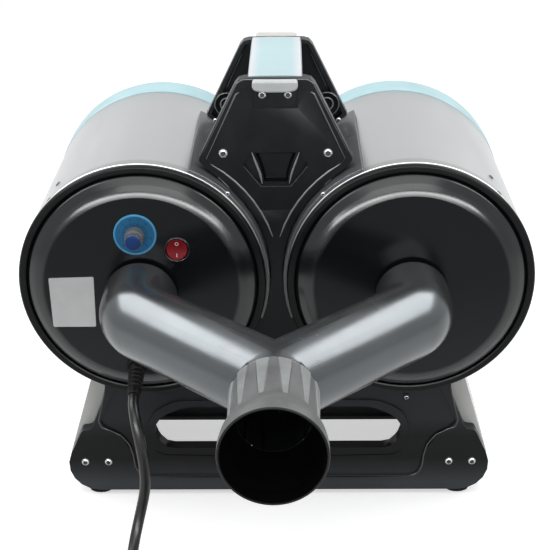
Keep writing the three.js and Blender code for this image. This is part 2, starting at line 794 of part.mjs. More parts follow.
// A stepped knob with a raised pointer and a bore for the shaft.
function speedKnob() {
  const base = coverFace - 2 * fitGap - dialThickness - 0.6;
  const tip = base - knobLength;
  const body = revolve([
    [0, tip], [knobTipRadius - 0.8, tip], [knobTipRadius, tip + 0.8], [knobTipRadius + 0.6, tip + 5.5],
    [knobRadius, tip + 6.5], [knobRadius, base], [0, base],
  ], motorSides);
  const pointer = box(-0.55, 0.55, tip - 0.4, tip + 0.5, 1, knobTipRadius - 0.6);
  const bore = (knobShaftRadius + turnGap) / Math.cos(Math.PI / smallSides);
  return cut(join(body, pointer), rod(bore, base - 10, base + 1));
}

function potentiometer() {
  const inside = coverFace + coverThickness + fitGap;
  const base = coverFace - 2 * fitGap - dialThickness - 0.6;
  return revolve([
    [0, base - 9], [knobShaftRadius, base - 9], [knobShaftRadius, inside], [8.5, inside],
    [8.5, inside + 9], [0, inside + 9],
  ]);
}

function rockerBezel() {
  const face = coverFace - fitGap;
  return revolve([
    [rockerRadius + 0.9, face - 2.2], [bezelRadius - 1, face - 2.2], [bezelRadius, face - 1.2],
    [bezelRadius, face], [bezelRadius - 1, face], [bezelRadius - 1, face + 14], [0, face + 14],
    [0, face + 11], [rockerRadius + 0.9, face + 11], [rockerRadius + 0.9, face - 2.2],
  ], motorSides);
}

// A round paddle with a saddle-shaped face, pressed in at its upper half at rest.
function rocker() {
  const top = coverFace - 3.4;
  const drum = rod(rockerRadius, top - 3, coverFace + 3, motorSides);
  const hollow = new THREE.CylinderGeometry(26, 26, 40, 48).rotateZ(Math.PI / 2)
    .translate(0, top - 26 + 0.6, 0);
  return cut(drum, hollow).translate(0, -coverFace, 0)
    .rotateX(THREE.MathUtils.degToRad(-rockerTilt)).translate(0, coverFace, 0);
}

// ---------------------------------------------------------------- cord
// Points in the standing frame, chosen along the cord's fall and its way over the floor.
const glandFace = new THREE.Vector3(-halfSpacing + glandX, coverFace - centreY, axisHeight + glandZ);
const bootWay = new THREE.Vector3(
  0, -Math.cos(THREE.MathUtils.degToRad(bootTilt)), -Math.sin(THREE.MathUtils.degToRad(bootTilt)),
);
const bootTip = glandFace.clone().addScaledVector(bootWay, bootLength);
const cordFloor = cordDiameter / 2 + floorLift;

// A flange against the cover, a stem through it and a ringed, tapered boot that points down.
function cordGland() {
  const stem = rod(glandRadius - 1.8, coverFace - 1, coverFace + coverThickness + 5);
  const flange = rod(glandRadius, coverFace - 3, coverFace - fitGap);
  const groove = (y) => [[6.4 - 0.03 * y, -y], [5.6 - 0.03 * y, -y - 0.6], [5.6 - 0.03 * y, -y - 1.8],
    [6.3 - 0.03 * y, -y - 2.4]];
  const boot = revolve([[0, 6], [glandRadius, 6], ...[9, 17].flatMap(groove), [5.3, -bootLength],
    [0, -bootLength]]).rotateX(THREE.MathUtils.degToRad(bootTilt)).translate(0, coverFace, 0);
  const behind = box(-20, 20, coverFace - fitGap, coverFace + 20, -20, 20);
  return join(stem, flange, cut(boot, behind));
}

// The cord's way from the boot's tip: [across, along Y, share of the tip's height above the floor].
const cordCourse = [
  [0.0, -0.7, 0.998], [0.4, -9.1, 0.971], [2.0, -16.9, 0.924], [4.0, -22.5, 0.856], [6.0, -25.7, 0.777],
  [7.6, -27.1, 0.690], [8.6, -27.3, 0.595], [8.8, -27.1, 0.500], [7.6, -27.1, 0.405],
  [5.0, -28.5, 0.311], [2.0, -32.7, 0.213], [-0.6, -40.1, 0.126], [-2.2, -51.1, 0.056],
  [-3.0, -64.1, 0.015], [-3.3, -78.1, 0.001], [-3.3, -94.1, 0.000], [-3.3, -109.1, 0.000],
  [-3.3, -122.8, 0.000],
];
const cordPoints = cordCourse.map(([x, y, share]) => new THREE.Vector3(
  bootTip.x + x, bootTip.y + y, cordFloor + share * (bootTip.z - cordFloor),
));
const coilStart = cordPoints[cordPoints.length - 1].clone().add(new THREE.Vector3(0, -fitGap, 0));

// The centreline of the coil: inwards on the floor, up in the half turn at the middle, outwards above.
function coilLine() {
  const inTurn = 2 * Math.PI * coilTurnsPerLayer;
  const outer = coilInnerRadius + coilPitch * coilTurnsPerLayer;
  const total = 2 * inTurn + Math.PI;
  const steps = Math.round(total / (2 * Math.PI) * coilStepsPerTurn);
  const [cx, cy] = [coilStart.x + outer, coilStart.y - coilLead];
  const points = [coilStart];
  for (let i = 0; i <= steps; i++) {
    const turned = total * i / steps;
    const climb = THREE.MathUtils.clamp((turned - inTurn) / Math.PI, 0, 1);
    const inwards = Math.min(turned, inTurn) / inTurn;
    const outwards = Math.max(turned - inTurn - Math.PI, 0) / inTurn;
    const radius = outer - (outer - coilInnerRadius) * (inwards - outwards) - 1.7 * Math.sin(Math.PI * climb);
    const angle = Math.PI + turned;
    const height = cordFloor + coilPitch * (1 - Math.cos(Math.PI * climb)) / 2;
    points.push(new THREE.Vector3(cx + radius * Math.cos(angle), cy + radius * Math.sin(angle), height));
  }
  const last = points[points.length - 1];
  const plugHeight = plugRadius + floorLift;
  for (const [share, rise] of [[0.3, 0.12], [0.65, 0.75], [0.85, 1], [1, 1]]) {
    points.push(new THREE.Vector3(
      last.x + coilTail * share, last.y, last.z + (plugHeight - last.z) * rise,
    ));
  }
  return points;
}

// Rings of a round tube along a line of points, level with the floor at its ends.
function tube(points, radius, sides) {
  return loft(points.map((point, i) => {
    const before = points[Math.max(i - 1, 0)];
    const after = points[Math.min(i + 1, points.length - 1)];
    const way = after.clone().sub(before).normalize();
    const side = new THREE.Vector3(way.y, -way.x, 0);
    if (side.length() < 0.2) side.set(1, 0, 0);
    side.addScaledVector(way, -side.dot(way)).normalize();
    const up = new THREE.Vector3().crossVectors(side, way);
    return Array.from({ length: sides }, (_, j) => {
      const angle = 2 * Math.PI * (j + 0.5) / sides;
      const outwards = side.clone().multiplyScalar(radius * Math.cos(angle));
      return outwards.addScaledVector(up, radius * Math.sin(angle)).add(point);
    });
  }));
}

// The least distance between stretches of a line that are not neighbours, less the tube's thickness.
function leastGap(points, thickness) {
  const dense = new THREE.CatmullRomCurve3(points).getSpacedPoints(points.length * 4);
  const step = dense[0].distanceTo(dense[1]);
  const apart = Math.ceil(6 * thickness / step);
  let least = Infinity;
  for (let i = 0; i < dense.length; i++) {
    for (let j = i + apart; j < dense.length; j++) least = Math.min(least, dense[i].distanceTo(dense[j]));
  }
  return least - thickness;
}

function freeCord() {
  const extrudePath = new THREE.CatmullRomCurve3(cordPoints);
  const section = new THREE.Shape();
  section.absarc(0, 0, cordDiameter / 2, 0, 2 * Math.PI);
  const options = { extrudePath, steps: 14, curveSegments: 5, bevelEnabled: false };
  return new THREE.ExtrudeGeometry(section, options);
}

function plugBody() {
  const grip = revolve([
    [0, 0], [6, 0], [7.2, plugBoot - 6], [9.5, plugBoot - 2], [13.5, plugBoot], [14.2, plugBoot + 8],
    [plugRadius, plugBoot + 20], [plugRadius, plugBoot + plugLength], [0, plugBoot + plugLength],
  ], motorSides);
  const clip = (z) => box(-3, 3, plugBoot + 18, plugBoot + plugLength + 1, z - 2.4, z + 2.4);
  const end = plugBoot + plugLength;
  const socket = (x) => at(rod(pinRadius + fitGap, end - 8, end + 1), x, 0, 0);
  return cut(grip, clip(plugRadius), clip(-plugRadius), socket(pinSpacing / 2), socket(-pinSpacing / 2));
}

function plugPin() {
  const seat = plugBoot + plugLength - 8 + fitGap;
  return revolve([
    [0, seat], [pinRadius, seat], [pinRadius, seat + 7.5 + pinLength - 1.5],
    [pinRadius - 1, seat + 7.5 + pinLength], [0, seat + 7.5 + pinLength],
  ], 12);
}

// ---------------------------------------------------------------- materials
const finish = (color, roughness, metalness = 0) => (
  new THREE.MeshStandardMaterial({ color, roughness, metalness })
);
const blackPlastic = () => finish(0x17181a, 0.42);
const greyGloss = () => finish(0x4b4f54, 0.25);
const silverPanel = () => finish(0xa9aba8, 0.4, 0.3);
const cyanPlastic = () => finish(0xa9dfe3, 0.35);
const handleGrey = () => finish(0x4a4d50, 0.5);
const capGrey = () => finish(0xa7adb2, 0.4);
const blackRubber = () => finish(0x141414, 0.8);
const drumSteel = () => finish(0xb9babb, 0.32, 0.9);
const coverBlack = () => finish(0x22262b, 0.18);
const pipeGunmetal = () => finish(0x7b8186, 0.22, 0.85);
const couplingGrey = () => finish(0x5d6164, 0.55);
const foam = () => finish(0x2e2f31, 0.95);
const motorSteel = () => finish(0x8d8f92, 0.4, 0.9);
const copper = () => finish(0x9c5a34, 0.4, 0.8);
const dialBlue = () => finish(0x3d97cf, 0.45);
const knobGrey = () => finish(0x4d5359, 0.5);
const switchRed = () => finish(0xb31419, 0.25);
const plugBrass = () => finish(0xc7a765, 0.3, 0.9);

// ---------------------------------------------------------------- assembly
const dryer = new THREE.Group();
const machine = new THREE.Group();
machine.position.set(0, -centreY, axisHeight);
dryer.add(machine);

function place(name, geometry, material, parent = machine, position = [0, 0, 0]) {
  const mesh = new THREE.Mesh(closed(geometry), material);
  mesh.name = name;
  mesh.position.set(...position);
  parent.add(mesh);
  return mesh;
}

function buildFrame() {
  const rearPlate = endPlate().rotateZ(Math.PI).translate(0, plateFront + plateRear, 0);
  const rearHandleCap = handleCap().rotateZ(Math.PI).translate(0, plateFront + plateRear, 0);
  place('front_plate', endPlate(), blackPlastic());
  place('rear_plate', rearPlate, blackPlastic());
  place('drum_saddle', saddle(), greyGloss());
  place('right_side_cover', sideCover(), silverPanel());
  place('left_side_cover', mirroredX(sideCover()), silverPanel());
  place('handle_grip', handleGrip(), handleGrey());
  place('handle_inlay', handleInlay(), cyanPlastic());
  place('handle_front_cap', handleCap(), capGrey());
  place('handle_rear_cap', rearHandleCap, capGrey());
  for (const [side, x] of [['left', -earCentreX], ['right', earCentreX]]) {
    for (const [end, y] of [['front', plateFront + plateDepth / 2], ['rear', plateRear - plateDepth / 2]]) {
      place(`foot_${end}_${side}`, foot(), blackRubber(), machine, [x, y, plateBottom - footHeight]);
    }
  }
}

function buildDrum(side, x) {
  const drum = new THREE.Group();
  drum.position.set(x, 0, 0);
  machine.add(drum);
  const add = (name, geometry, material) => place(`${side}_${name}`, geometry, material, drum);
  add('drum_shell', drumShell(), drumSteel());
  add('rim_bezel', rimBezel(), blackRubber());
  add('front_cover', side === 'left' ? leftFrontCover() : frontCover(), coverBlack());
  add('rear_cap', rearCap(), cyanPlastic());
  add('intake_filter', intakeFilter(), foam());
  add('fan_case', fanCase(), motorSteel());
  add('impeller', impeller(), motorSteel());
  add('rotor', rotor(), copper());
  add('motor_frame', motorFrame(), motorSteel());
}

function buildPipe() {
  place('y_pipe', yPipe(), pipeGunmetal());
  place('outlet_coupling', outletCoupling(), couplingGrey(), machine, [0, 0, pipeDrop]);
}

function buildControls() {
  const knobPlace = [-halfSpacing + dialX, 0, dialZ];
  const rockerPlace = [-halfSpacing + rockerX, 0, rockerZ];
  const knobRest = THREE.MathUtils.degToRad(150);
  place('dial_plate', dialPlate(), dialBlue(), machine, knobPlace);
  place('speed_knob', speedKnob().rotateY(knobRest), knobGrey(), machine, knobPlace);
  place('potentiometer', potentiometer(), motorSteel(), machine, knobPlace);
  place('rocker_bezel', rockerBezel(), blackPlastic(), machine, rockerPlace);
  place('rocker_button', rocker(), switchRed(), machine, rockerPlace);
}

function buildCord() {
  const coil = coilLine();
  console.log(`coil: least gap to itself ${leastGap(coil.slice(1, -4), cordDiameter).toFixed(2)} mm`);
  console.log(`cord: boot tip at ${bootTip.toArray().map((v) => v.toFixed(1))}`);
  const plugStart = coil[coil.length - 1];
  const plug = new THREE.Group();
  plug.position.set(plugStart.x + fitGap, plugStart.y, plugStart.z);
  plug.rotation.z = -Math.PI / 2;
  dryer.add(plug);
  place('cord_gland', cordGland(), blackRubber(), machine, [-halfSpacing + glandX, 0, glandZ]);
  place('mains_cord', freeCord(), blackRubber(), dryer);
  place('mains_cord_coil', tube(coil, cordDiameter / 2, coilSides), blackRubber(), dryer);
  place('mains_plug', plugBody(), blackRubber(), plug);
  place('plug_pin_left', plugPin(), plugBrass(), plug, [-pinSpacing / 2, 0, 0]);
  place('plug_pin_right', plugPin(), plugBrass(), plug, [pinSpacing / 2, 0, 0]);
}

buildFrame();
buildDrum('left', -halfSpacing);
buildDrum('right', halfSpacing);
buildPipe();
buildControls();
buildCord();

export default dryer;
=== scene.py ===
"""Looks of a double-drum pet grooming dryer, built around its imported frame."""

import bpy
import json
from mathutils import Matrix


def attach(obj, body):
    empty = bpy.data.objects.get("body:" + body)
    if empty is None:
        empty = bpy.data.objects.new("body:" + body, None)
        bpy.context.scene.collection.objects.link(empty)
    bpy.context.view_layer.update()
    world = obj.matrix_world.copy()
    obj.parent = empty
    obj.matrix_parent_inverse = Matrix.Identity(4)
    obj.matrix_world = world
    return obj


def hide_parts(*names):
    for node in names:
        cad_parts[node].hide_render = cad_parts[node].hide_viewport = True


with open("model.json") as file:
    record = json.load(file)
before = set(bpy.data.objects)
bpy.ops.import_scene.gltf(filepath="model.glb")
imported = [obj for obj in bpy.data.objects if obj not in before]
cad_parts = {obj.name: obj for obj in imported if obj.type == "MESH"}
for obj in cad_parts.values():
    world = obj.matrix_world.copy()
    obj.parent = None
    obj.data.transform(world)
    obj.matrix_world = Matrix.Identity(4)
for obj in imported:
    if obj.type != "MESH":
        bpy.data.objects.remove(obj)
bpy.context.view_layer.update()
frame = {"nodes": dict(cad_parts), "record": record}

import json
import math

import bmesh
import bpy
from mathutils import Matrix, Vector

# Sizes are in mm, in the machine's own frame: y runs back from the rims of the drums and z up from their axes.
# The points of the cord alone are in the standing frame.
MM = 0.001
ORIGIN = Vector((0.0, 8.15, 213.2))  # the machine's own origin in the standing frame
HALF = 109.0  # from the middle to each drum's axis
RIM = 100.0  # drum radius
PLATE_FRONT, PLATE_SPAN, PLATE_DEPTH = 15.0, 136.0, 12.0
PLATE_REAR = PLATE_FRONT + PLATE_SPAN
COVER_FACE = -14.0
SEAT = COVER_FACE - 0.3  # back of the controls on the cover's face
HANDLE_TOP = 165.2
DIAL, DIAL_HOLE = (-HALF - 2.7, 46.9), 3.9  # x and z on the left cover, and the radius of the hole
ROCKER, ROCKER_HOLE = (-HALF + 30.2, 34.5), 10.1
GLAND, GLAND_HOLE = (-HALF - 7.0, -71.0), 4.7
PIPE_DROP = -5.0
PIPE_RADIUS, PIPE_WALL, PIPE_SIDES = 29.6, 2.2, 96
ELBOW_REACH, ELBOW_BEND = 61.0, 32.6
JUNCTION = -ELBOW_REACH - HALF
COUPLING_BACK = JUNCTION - 14.3
MOUTH = COUPLING_BACK - 82.0
SMOOTH = 32  # edges over this many degrees stay sharp
scene = bpy.context.scene


def placed(name, data):
    obj = bpy.data.objects.new(name, data)
    scene.collection.objects.link(obj)
    return obj


# ---------------------------------------------------------------- camera
PHOTO_WIDTH, FOCAL, SHIFT = 554, 1354.8, 7.66  # in pixels of the photograph
CAMERA_PLACE, TILT, YAW, ROLL = (0.0126, -1.00165, 0.6611), 0.4188, -0.0121, -0.0092
SENSOR = 36.0


def make_camera():
    ahead = Vector((math.sin(YAW) * math.cos(TILT), math.cos(YAW) * math.cos(TILT), -math.sin(TILT)))
    right = Vector((math.cos(YAW), -math.sin(YAW), 0.0))
    up = right.cross(ahead)
    rolled = right * math.cos(ROLL) + up * math.sin(ROLL)
    above = -right * math.sin(ROLL) + up * math.cos(ROLL)
    data = bpy.data.cameras.new("camera")
    data.sensor_width = SENSOR
    data.sensor_fit = "HORIZONTAL"
    data.lens = FOCAL / PHOTO_WIDTH * SENSOR
    data.shift_y = SHIFT / PHOTO_WIDTH
    data.clip_end = 50.0
    camera = placed("camera", data)
    camera.matrix_world = Matrix.Translation(CAMERA_PLACE) @ Matrix((rolled, above, -ahead)).transposed().to_4x4()
    scene.camera = camera


make_camera()


# ---------------------------------------------------------------- materials
SHADE_RANGE = 8.0  # a colour ramp holds nothing above 1, so that shades are stored as shares of this


class Nodes:
    """Short ways to add nodes to one material or world; an input is a value or another node's output."""

    def __init__(self, owner, shader="Principled BSDF"):
        owner.use_nodes = True
        self.owner, self.tree = owner, owner.node_tree
        self.shader = self.tree.nodes[shader]

    def fill(self, node, inputs):
        for key, value in inputs.items():
            if isinstance(value, bpy.types.NodeSocket):
                self.tree.links.new(value, node.inputs[key])
            else:
                node.inputs[key].default_value = value
        return node

    def add(self, kind, inputs=None, operation=None):
        node = self.tree.nodes.new(kind)
        if operation:
            node.operation = operation
        return self.fill(node, inputs or {})

    def finished(self, inputs):
        self.fill(self.shader, inputs)
        return self.owner

    def place(self):
        return self.add("ShaderNodeTexCoord").outputs["Object"]

    def mapped(self, scale=(1, 1, 1)):
        return self.add("ShaderNodeMapping", {"Vector": self.place(), "Scale": scale}).outputs["Vector"]

    def noise(self, scale, detail=3.0, rough=0.5, stretch=(1, 1, 1)):
        inputs = {"Vector": self.mapped(stretch), "Scale": scale, "Detail": detail, "Roughness": rough}
        return self.add("ShaderNodeTexNoise", inputs).outputs["Fac"]

    def cells(self, scale):
        return self.add("ShaderNodeTexVoronoi", {"Vector": self.mapped(), "Scale": scale}).outputs["Distance"]

    def along(self, axis):
        return self.add("ShaderNodeSeparateXYZ", {0: self.place()}).outputs[axis]

    def spread(self, value, low, high, start=0.3, end=0.7):
        inputs = {"Value": value, "From Min": start, "From Max": end, "To Min": low, "To Max": high}
        return self.add("ShaderNodeMapRange", inputs).outputs["Result"]

    def blend(self, value, dark, light, start=0.3, end=0.7):
        node = self.add("ShaderNodeValToRGB", {"Fac": value})
        first, last = node.color_ramp.elements
        first.position, last.position = start, end
        first.color, last.color = (*dark, 1), (*light, 1)
        return node.outputs["Color"]

    def shaded(self, color, axis, stops):
        """A colour times a share that varies along one axis: stops are (mm, grey) or (mm, red, green, blue)."""
        if not stops:
            return color
        low, high = stops[0][0] * MM, stops[-1][0] * MM
        ramp = self.add("ShaderNodeValToRGB", {"Fac": self.spread(self.along(axis), 0.0, 1.0, low, high)})
        elements = ramp.color_ramp.elements
        while len(elements) < len(stops):
            elements.new(1.0)
        for element, stop in zip(elements, stops):
            element.position = (stop[0] * MM - low) / (high - low)
        for element, (_, *share) in zip(elements, stops):
            element.color = (*(c / SHADE_RANGE for c in (share * 3)[:3]), 1)
        product = self.add("ShaderNodeVectorMath", {0: color, 1: ramp.outputs["Color"]}, "MULTIPLY")
        whole = self.add("ShaderNodeVectorMath", {0: product.outputs[0], "Scale": SHADE_RANGE}, "SCALE")
        return whole.outputs[0]

    def bump(self, value, strength, depth, before=None):
        inputs = {"Strength": strength, "Distance": depth, "Height": value}
        if before is not None:
            inputs["Normal"] = before
        return self.add("ShaderNodeBump", inputs).outputs["Normal"]

    def ray_is(self, *kinds):
        """An output that is 1 for a ray of any of these kinds, and 0 for the others."""
        path = self.add("ShaderNodeLightPath")
        value = path.outputs[kinds[0]]
        for kind in kinds[1:]:
            value = self.add("ShaderNodeMath", {0: value, 1: path.outputs[kind]}, "MAXIMUM").outputs[0]
        return value


def tinted(color, share):
    return tuple(min(max(c * share, 0.0), 1.0) for c in color)


def moulded(name, color, rough, spec, grain, shades=()):
    """Injection-moulded plastic: an even colour with faint clouds, a fine grain and scattered scuffs; any shades
    given paint light and shade into the colour along Z.
    """
    m = Nodes(bpy.data.materials.new(name))
    clouds = m.blend(m.noise(14.0, 4.0, 0.6), tinted(color, 0.86), tinted(color, 1.12))
    scuffs = m.noise(60.0, 6.0, 0.7, (1.0, 2.2, 0.6))
    fine = m.bump(m.noise(1800.0, 2.0), grain, 0.0002)
    return m.finished({
        "Base Color": m.shaded(clouds, "Z", shades),
        "Roughness": m.spread(scuffs, rough * 0.82, rough * 1.25, 0.35, 0.75),
        "Normal": m.bump(m.noise(35.0, 2.0), 0.03, 0.0015, fine),
        "Specular IOR Level": spec})


def lacquered(name, color, rough, spec, coat, metal=0.0, flakes=0.0, shades=(), polish=None):
    """Sprayed gloss paint: a slight orange peel under a clear coat, with metal flakes where it has them; any shades
    given paint light and shade into the colour along Z.
    """
    m = Nodes(bpy.data.materials.new(name))
    clouds = m.blend(m.noise(9.0), tinted(color, 0.9), tinted(color, 1.1))
    peel = m.bump(m.noise(420.0, 2.0), 0.05, 0.0004)
    if flakes:
        peel = m.bump(m.cells(2600.0), flakes, 0.00012, peel)
    if polish:
        start, end, low, high = polish
        spec = m.spread(m.along("Y"), low, high, start * MM, end * MM)
    return m.finished({
        "Base Color": m.shaded(clouds, "Z", shades),
        "Roughness": m.spread(m.noise(28.0, 6.0, 0.65), rough * 0.8, rough * 1.3, 0.3, 0.75),
        "Normal": peel, "Specular IOR Level": spec,
        "Coat Weight": coat, "Coat Roughness": 0.06, "Metallic": metal})


def brushed(name, color, rough, stretch, depth=0.09, even=1.0, shades=()):
    """Drawn or brushed metal: long fine lines, broad soft clouds and a few stains from handling."""
    m = Nodes(bpy.data.materials.new(name))
    lines = m.noise(240.0, 4.0, 0.6, stretch)
    mixed = m.add("ShaderNodeMath", {0: lines, 1: m.noise(7.0, 4.0, 0.55)}, "MULTIPLY").outputs[0]
    tone = m.blend(mixed, tinted(color, 1 - 0.1 * even), tinted(color, 1 + 0.06 * even), 0.12, 0.4)
    return m.finished({
        "Base Color": m.shaded(tone, "Y", shades),
        "Roughness": m.spread(mixed, rough * (1 - 0.2 * even), rough * (1 + 0.35 * even), 0.1, 0.42),
        "Normal": m.bump(lines, depth, 0.0002), "Metallic": 1.0})


def rubber(name, color, rough, grain, spec=0.3):
    """Moulded rubber or PVC: matt, with a fine skin and dusty patches."""
    m = Nodes(bpy.data.materials.new(name))
    dust = m.noise(40.0, 6.0, 0.7)
    return m.finished({
        "Base Color": m.blend(dust, tinted(color, 0.85), tinted(color, 1.35), 0.35, 0.8),
        "Roughness": m.spread(dust, rough * 0.85, rough * 1.2),
        "Normal": m.bump(m.noise(1500.0, 3.0, 0.6), grain, 0.00015),
        "Specular IOR Level": spec})


def open_foam(name, color):
    m = Nodes(bpy.data.materials.new(name))
    pores = m.cells(700.0)
    return m.finished({
        # Painted shade: the pores are coloured darker than the foam.
        "Base Color": m.blend(pores, tinted(color, 0.25), tinted(color, 1.4), 0.05, 0.6),
        "Normal": m.bump(pores, 0.9, 0.001), "Roughness": 0.95, "Specular IOR Level": 0.15})


def windings(name, color):
    """Lacquered copper wire, laid in fine turns."""
    m = Nodes(bpy.data.materials.new(name))
    turns = m.add("ShaderNodeTexWave", {"Vector": m.mapped(), "Scale": 260.0, "Distortion": 1.5}).outputs["Fac"]
    return m.finished({
        "Base Color": m.blend(turns, tinted(color, 0.5), tinted(color, 1.2), 0.1, 0.9),
        "Normal": m.bump(turns, 0.5, 0.0003),
        "Roughness": m.spread(m.noise(50.0), 0.3, 0.5), "Metallic": 0.9})


def graded(name, scale, dark, light, rough, shades):
    """A smooth pale surface whose colour changes towards both sides, by shades for x above 0; the change is painted
    light.
    """
    m = Nodes(bpy.data.materials.new(name))
    tone = m.blend(m.noise(scale), dark, light)
    return m.finished({
        "Base Color": m.shaded(tone, "X", sorted(symmetric(shades))),
        "Roughness": m.spread(m.noise(60.0), *rough)})


def flipped(points):
    return [(-p[0], *p[1:]) for p in points]


def symmetric(right):
    return [*right, *flipped(p for p in reversed(right) if abs(p[0]) > 1e-9)]


BLACK = (0.010, 0.0112, 0.0124)
MAT = {name: kind(name, *values) for name, (kind, *values) in {
    # Painted light and shade by height: the plate's black is much lighter near the floor and from 74 to 100 mm up,
    # and dark between and above.
    "plate_black": (moulded, BLACK, 0.34, 0.14, 0.06, (
        (0, 5.8), (11, 5.4), (24, 2.2), (35, 0.3), (58, 0.4), (74, 2.0), (100, 1.8), (130, 0.3, 0.35, 0.4),
        (300, 0.2, 0.35, 0.42), (380, 0.3, 0.5, 0.6))),
    # Painted light: a copy of the plate's black for the rear plate, lighter towards the top where its inner face
    # shows.
    "rear_plate_black": (moulded, BLACK, 0.34, 0.14, 0.06, (
        (0, 3.6), (24, 1.0), (36, 0.3), (58, 0.4), (74, 2.0), (130, 1.0), (300, 1.7, 1.75, 1.8),
        (380, 1.8, 1.85, 1.9))),
    "saddle_grey": (lacquered, (0.085, 0.092, 0.097), 0.32, 0.3, 0.1),
    "cover_silver": (lacquered, (0.40, 0.41, 0.42), 0.33, 0.4, 0.35, 0.35, 0.05),
    # Painted light: the panel is lighter towards its outer sides.
    "panel_silver": (graded, 9.0, (0.57, 0.58, 0.57), (0.61, 0.62, 0.61), (0.36, 0.46), (
        (158, 0.9, 0.9, 0.88), (174, 1.25), (184, 1.5))),
    "grip_grey": (moulded, (0.055, 0.058, 0.062), 0.5, 0.3, 0.12),
    "inlay_cyan": (moulded, (0.455, 0.635, 0.67), 0.38, 0.35, 0.04),
    # Painted sheen: the pad is paler and whiter on its rounded sides.
    "inlay_pad_cyan": (graded, 14.0, (0.44, 0.61, 0.645), (0.47, 0.655, 0.69), (0.34, 0.44), (
        (13, 1.0), (18.5, 1.4, 1.1, 1.1), (21.5, 1.5, 1.12, 1.14))),
    "cap_grey": (moulded, (0.60, 0.625, 0.64), 0.4, 0.35, 0.05),
    "cap_warm_grey": (moulded, (0.64, 0.62, 0.60), 0.4, 0.35, 0.05),
    "foot_rubber": (rubber, (0.004, 0.004, 0.0045), 0.7, 0.25, 0.1),
    # Painted highlight: the steel is made 1.5 times lighter on the rolled rim; behind it a band from about 4 to 13
    # mm is darker and warmer.
    "drum_steel": (brushed, (0.43, 0.44, 0.448), 0.3, (0.3, 0.05, 0.3), 0.003, 0.3, (
        (8.5, 1.5), (11.0, 1.4), (12.0, 0.72, 0.71, 0.69), (21.0, 0.78, 0.77, 0.75), (22.5, 0.97), (60.0, 1.0))),
    "bezel_black": (rubber, (0.0022, 0.0026, 0.003), 0.32, 0.05, 0.12),
    # Painted light: the dome's black is lighter towards the bottom and darker towards the top.
    "dome_black": (lacquered, (0.010, 0.0108, 0.0115), 0.2, 0.13, 0.0, 0.0, 0.0, (
        (110, 2.3, 2.3, 2.4), (160, 1.6, 1.65, 1.7), (215, 0.6, 0.65, 0.72), (270, 0.3, 0.45, 0.52),
        (320, 0.2, 0.3, 0.35)), (-5.75, -4.9, 0.13, 0.42)),
    "rear_cyan": (moulded, (0.45, 0.69, 0.74), 0.36, 0.35, 0.05),
    "filter_foam": (open_foam, (0.03, 0.031, 0.033)),
    "fan_steel": (brushed, (0.50, 0.51, 0.52), 0.42, (1.0, 1.0, 0.08)),
    "impeller_aluminium": (brushed, (0.66, 0.67, 0.68), 0.36, (0.4, 1.0, 0.4)),
    "rotor_steel": (windings, (0.46, 0.19, 0.08)),
    "motor_steel": (brushed, (0.34, 0.35, 0.36), 0.42, (0.1, 1.0, 0.1)),
    "pipe_gunmetal": (lacquered, (0.088, 0.096, 0.101), 0.23, 0.5, 0.0, 0.72, 0.01),
    "coupling_grey": (rubber, (0.115, 0.12, 0.12), 0.5, 0.15),
    # Painted light: the raised flutes are coloured lighter than the sleeve.
    "flute_grey": (rubber, (0.235, 0.248, 0.248), 0.5, 0.15),
    # Painted shade: the inside of the sleeve is coloured near-black.
    "bore_shade": (rubber, (0.0016, 0.0016, 0.0016), 0.7, 0.15, 0.02),
    "mouth_lip": (rubber, (0.02, 0.02, 0.021), 0.5, 0.15, 0.1),
    "dial_blue": (moulded, (0.018, 0.145, 0.31), 0.46, 0.1, 0.03),
    "dial_rim": (moulded, (0.065, 0.31, 0.55), 0.4, 0.2, 0.03),
    "knob_grey": (moulded, (0.085, 0.092, 0.10), 0.45, 0.3, 0.05),
    "knob_cap_blue": (moulded, (0.008, 0.042, 0.18), 0.45, 0.1, 0.03),
    "print_dark": (moulded, (0.012, 0.03, 0.07), 0.5, 0.2, 0.02),
    "print_white": (moulded, (0.78, 0.78, 0.78), 0.5, 0.2, 0.02),
    "label_film": (moulded, (0.60, 0.605, 0.61), 0.42, 0.3, 0.02),
    "control_steel": (brushed, (0.60, 0.60, 0.61), 0.35, (1.0, 0.1, 1.0)),
    "switch_black": (moulded, (0.010, 0.010, 0.011), 0.3, 0.35, 0.03),
    "switch_red": (moulded, (0.2, 0.005, 0.011), 0.5, 0.04, 0.02),
    "gland_rubber": (rubber, (0.004, 0.004, 0.0045), 0.55, 0.25, 0.12),
    "cord_black": (rubber, (0.012, 0.012, 0.013), 0.3, 0.05),
    "tie_band": (rubber, (0.02, 0.02, 0.022), 0.7, 0.4),
    "plug_black": (rubber, (0.011, 0.011, 0.012), 0.48, 0.3),
    "pin_brass": (brushed, (0.78, 0.56, 0.27), 0.28, (0.1, 1.0, 1.0)),
    "screw_chrome": (brushed, (0.50, 0.50, 0.51), 0.3, (1.0, 1.0, 1.0), 0.03),
    "seam_screw": (moulded, (0.10, 0.10, 0.105), 0.5, 0.2, 0.02),
    # Painted shade: the hexagon sockets of the screws are near-black.
    "socket_shade": (brushed, (0.035, 0.035, 0.037), 0.5, (1.0, 1.0, 1.0), 0.03),
    # Painted highlights: these three bead colours are lighter than the black plate, standing for the gloss on its
    # raised lines.
    "bead_gloss": (lacquered, (0.27, 0.28, 0.29), 0.25, 0.4, 0.2),
    "bead_soft": (lacquered, (0.12, 0.125, 0.13), 0.25, 0.4, 0.2),
    "bead_dark": (lacquered, (0.045, 0.047, 0.049), 0.28, 0.4, 0.2),
    # Painted shadow: near-black lines for the shade along steps low on the plates.
    "bead_shade": (rubber, (0.004, 0.004, 0.005), 0.6, 0.1, 0.05),
}.items()}


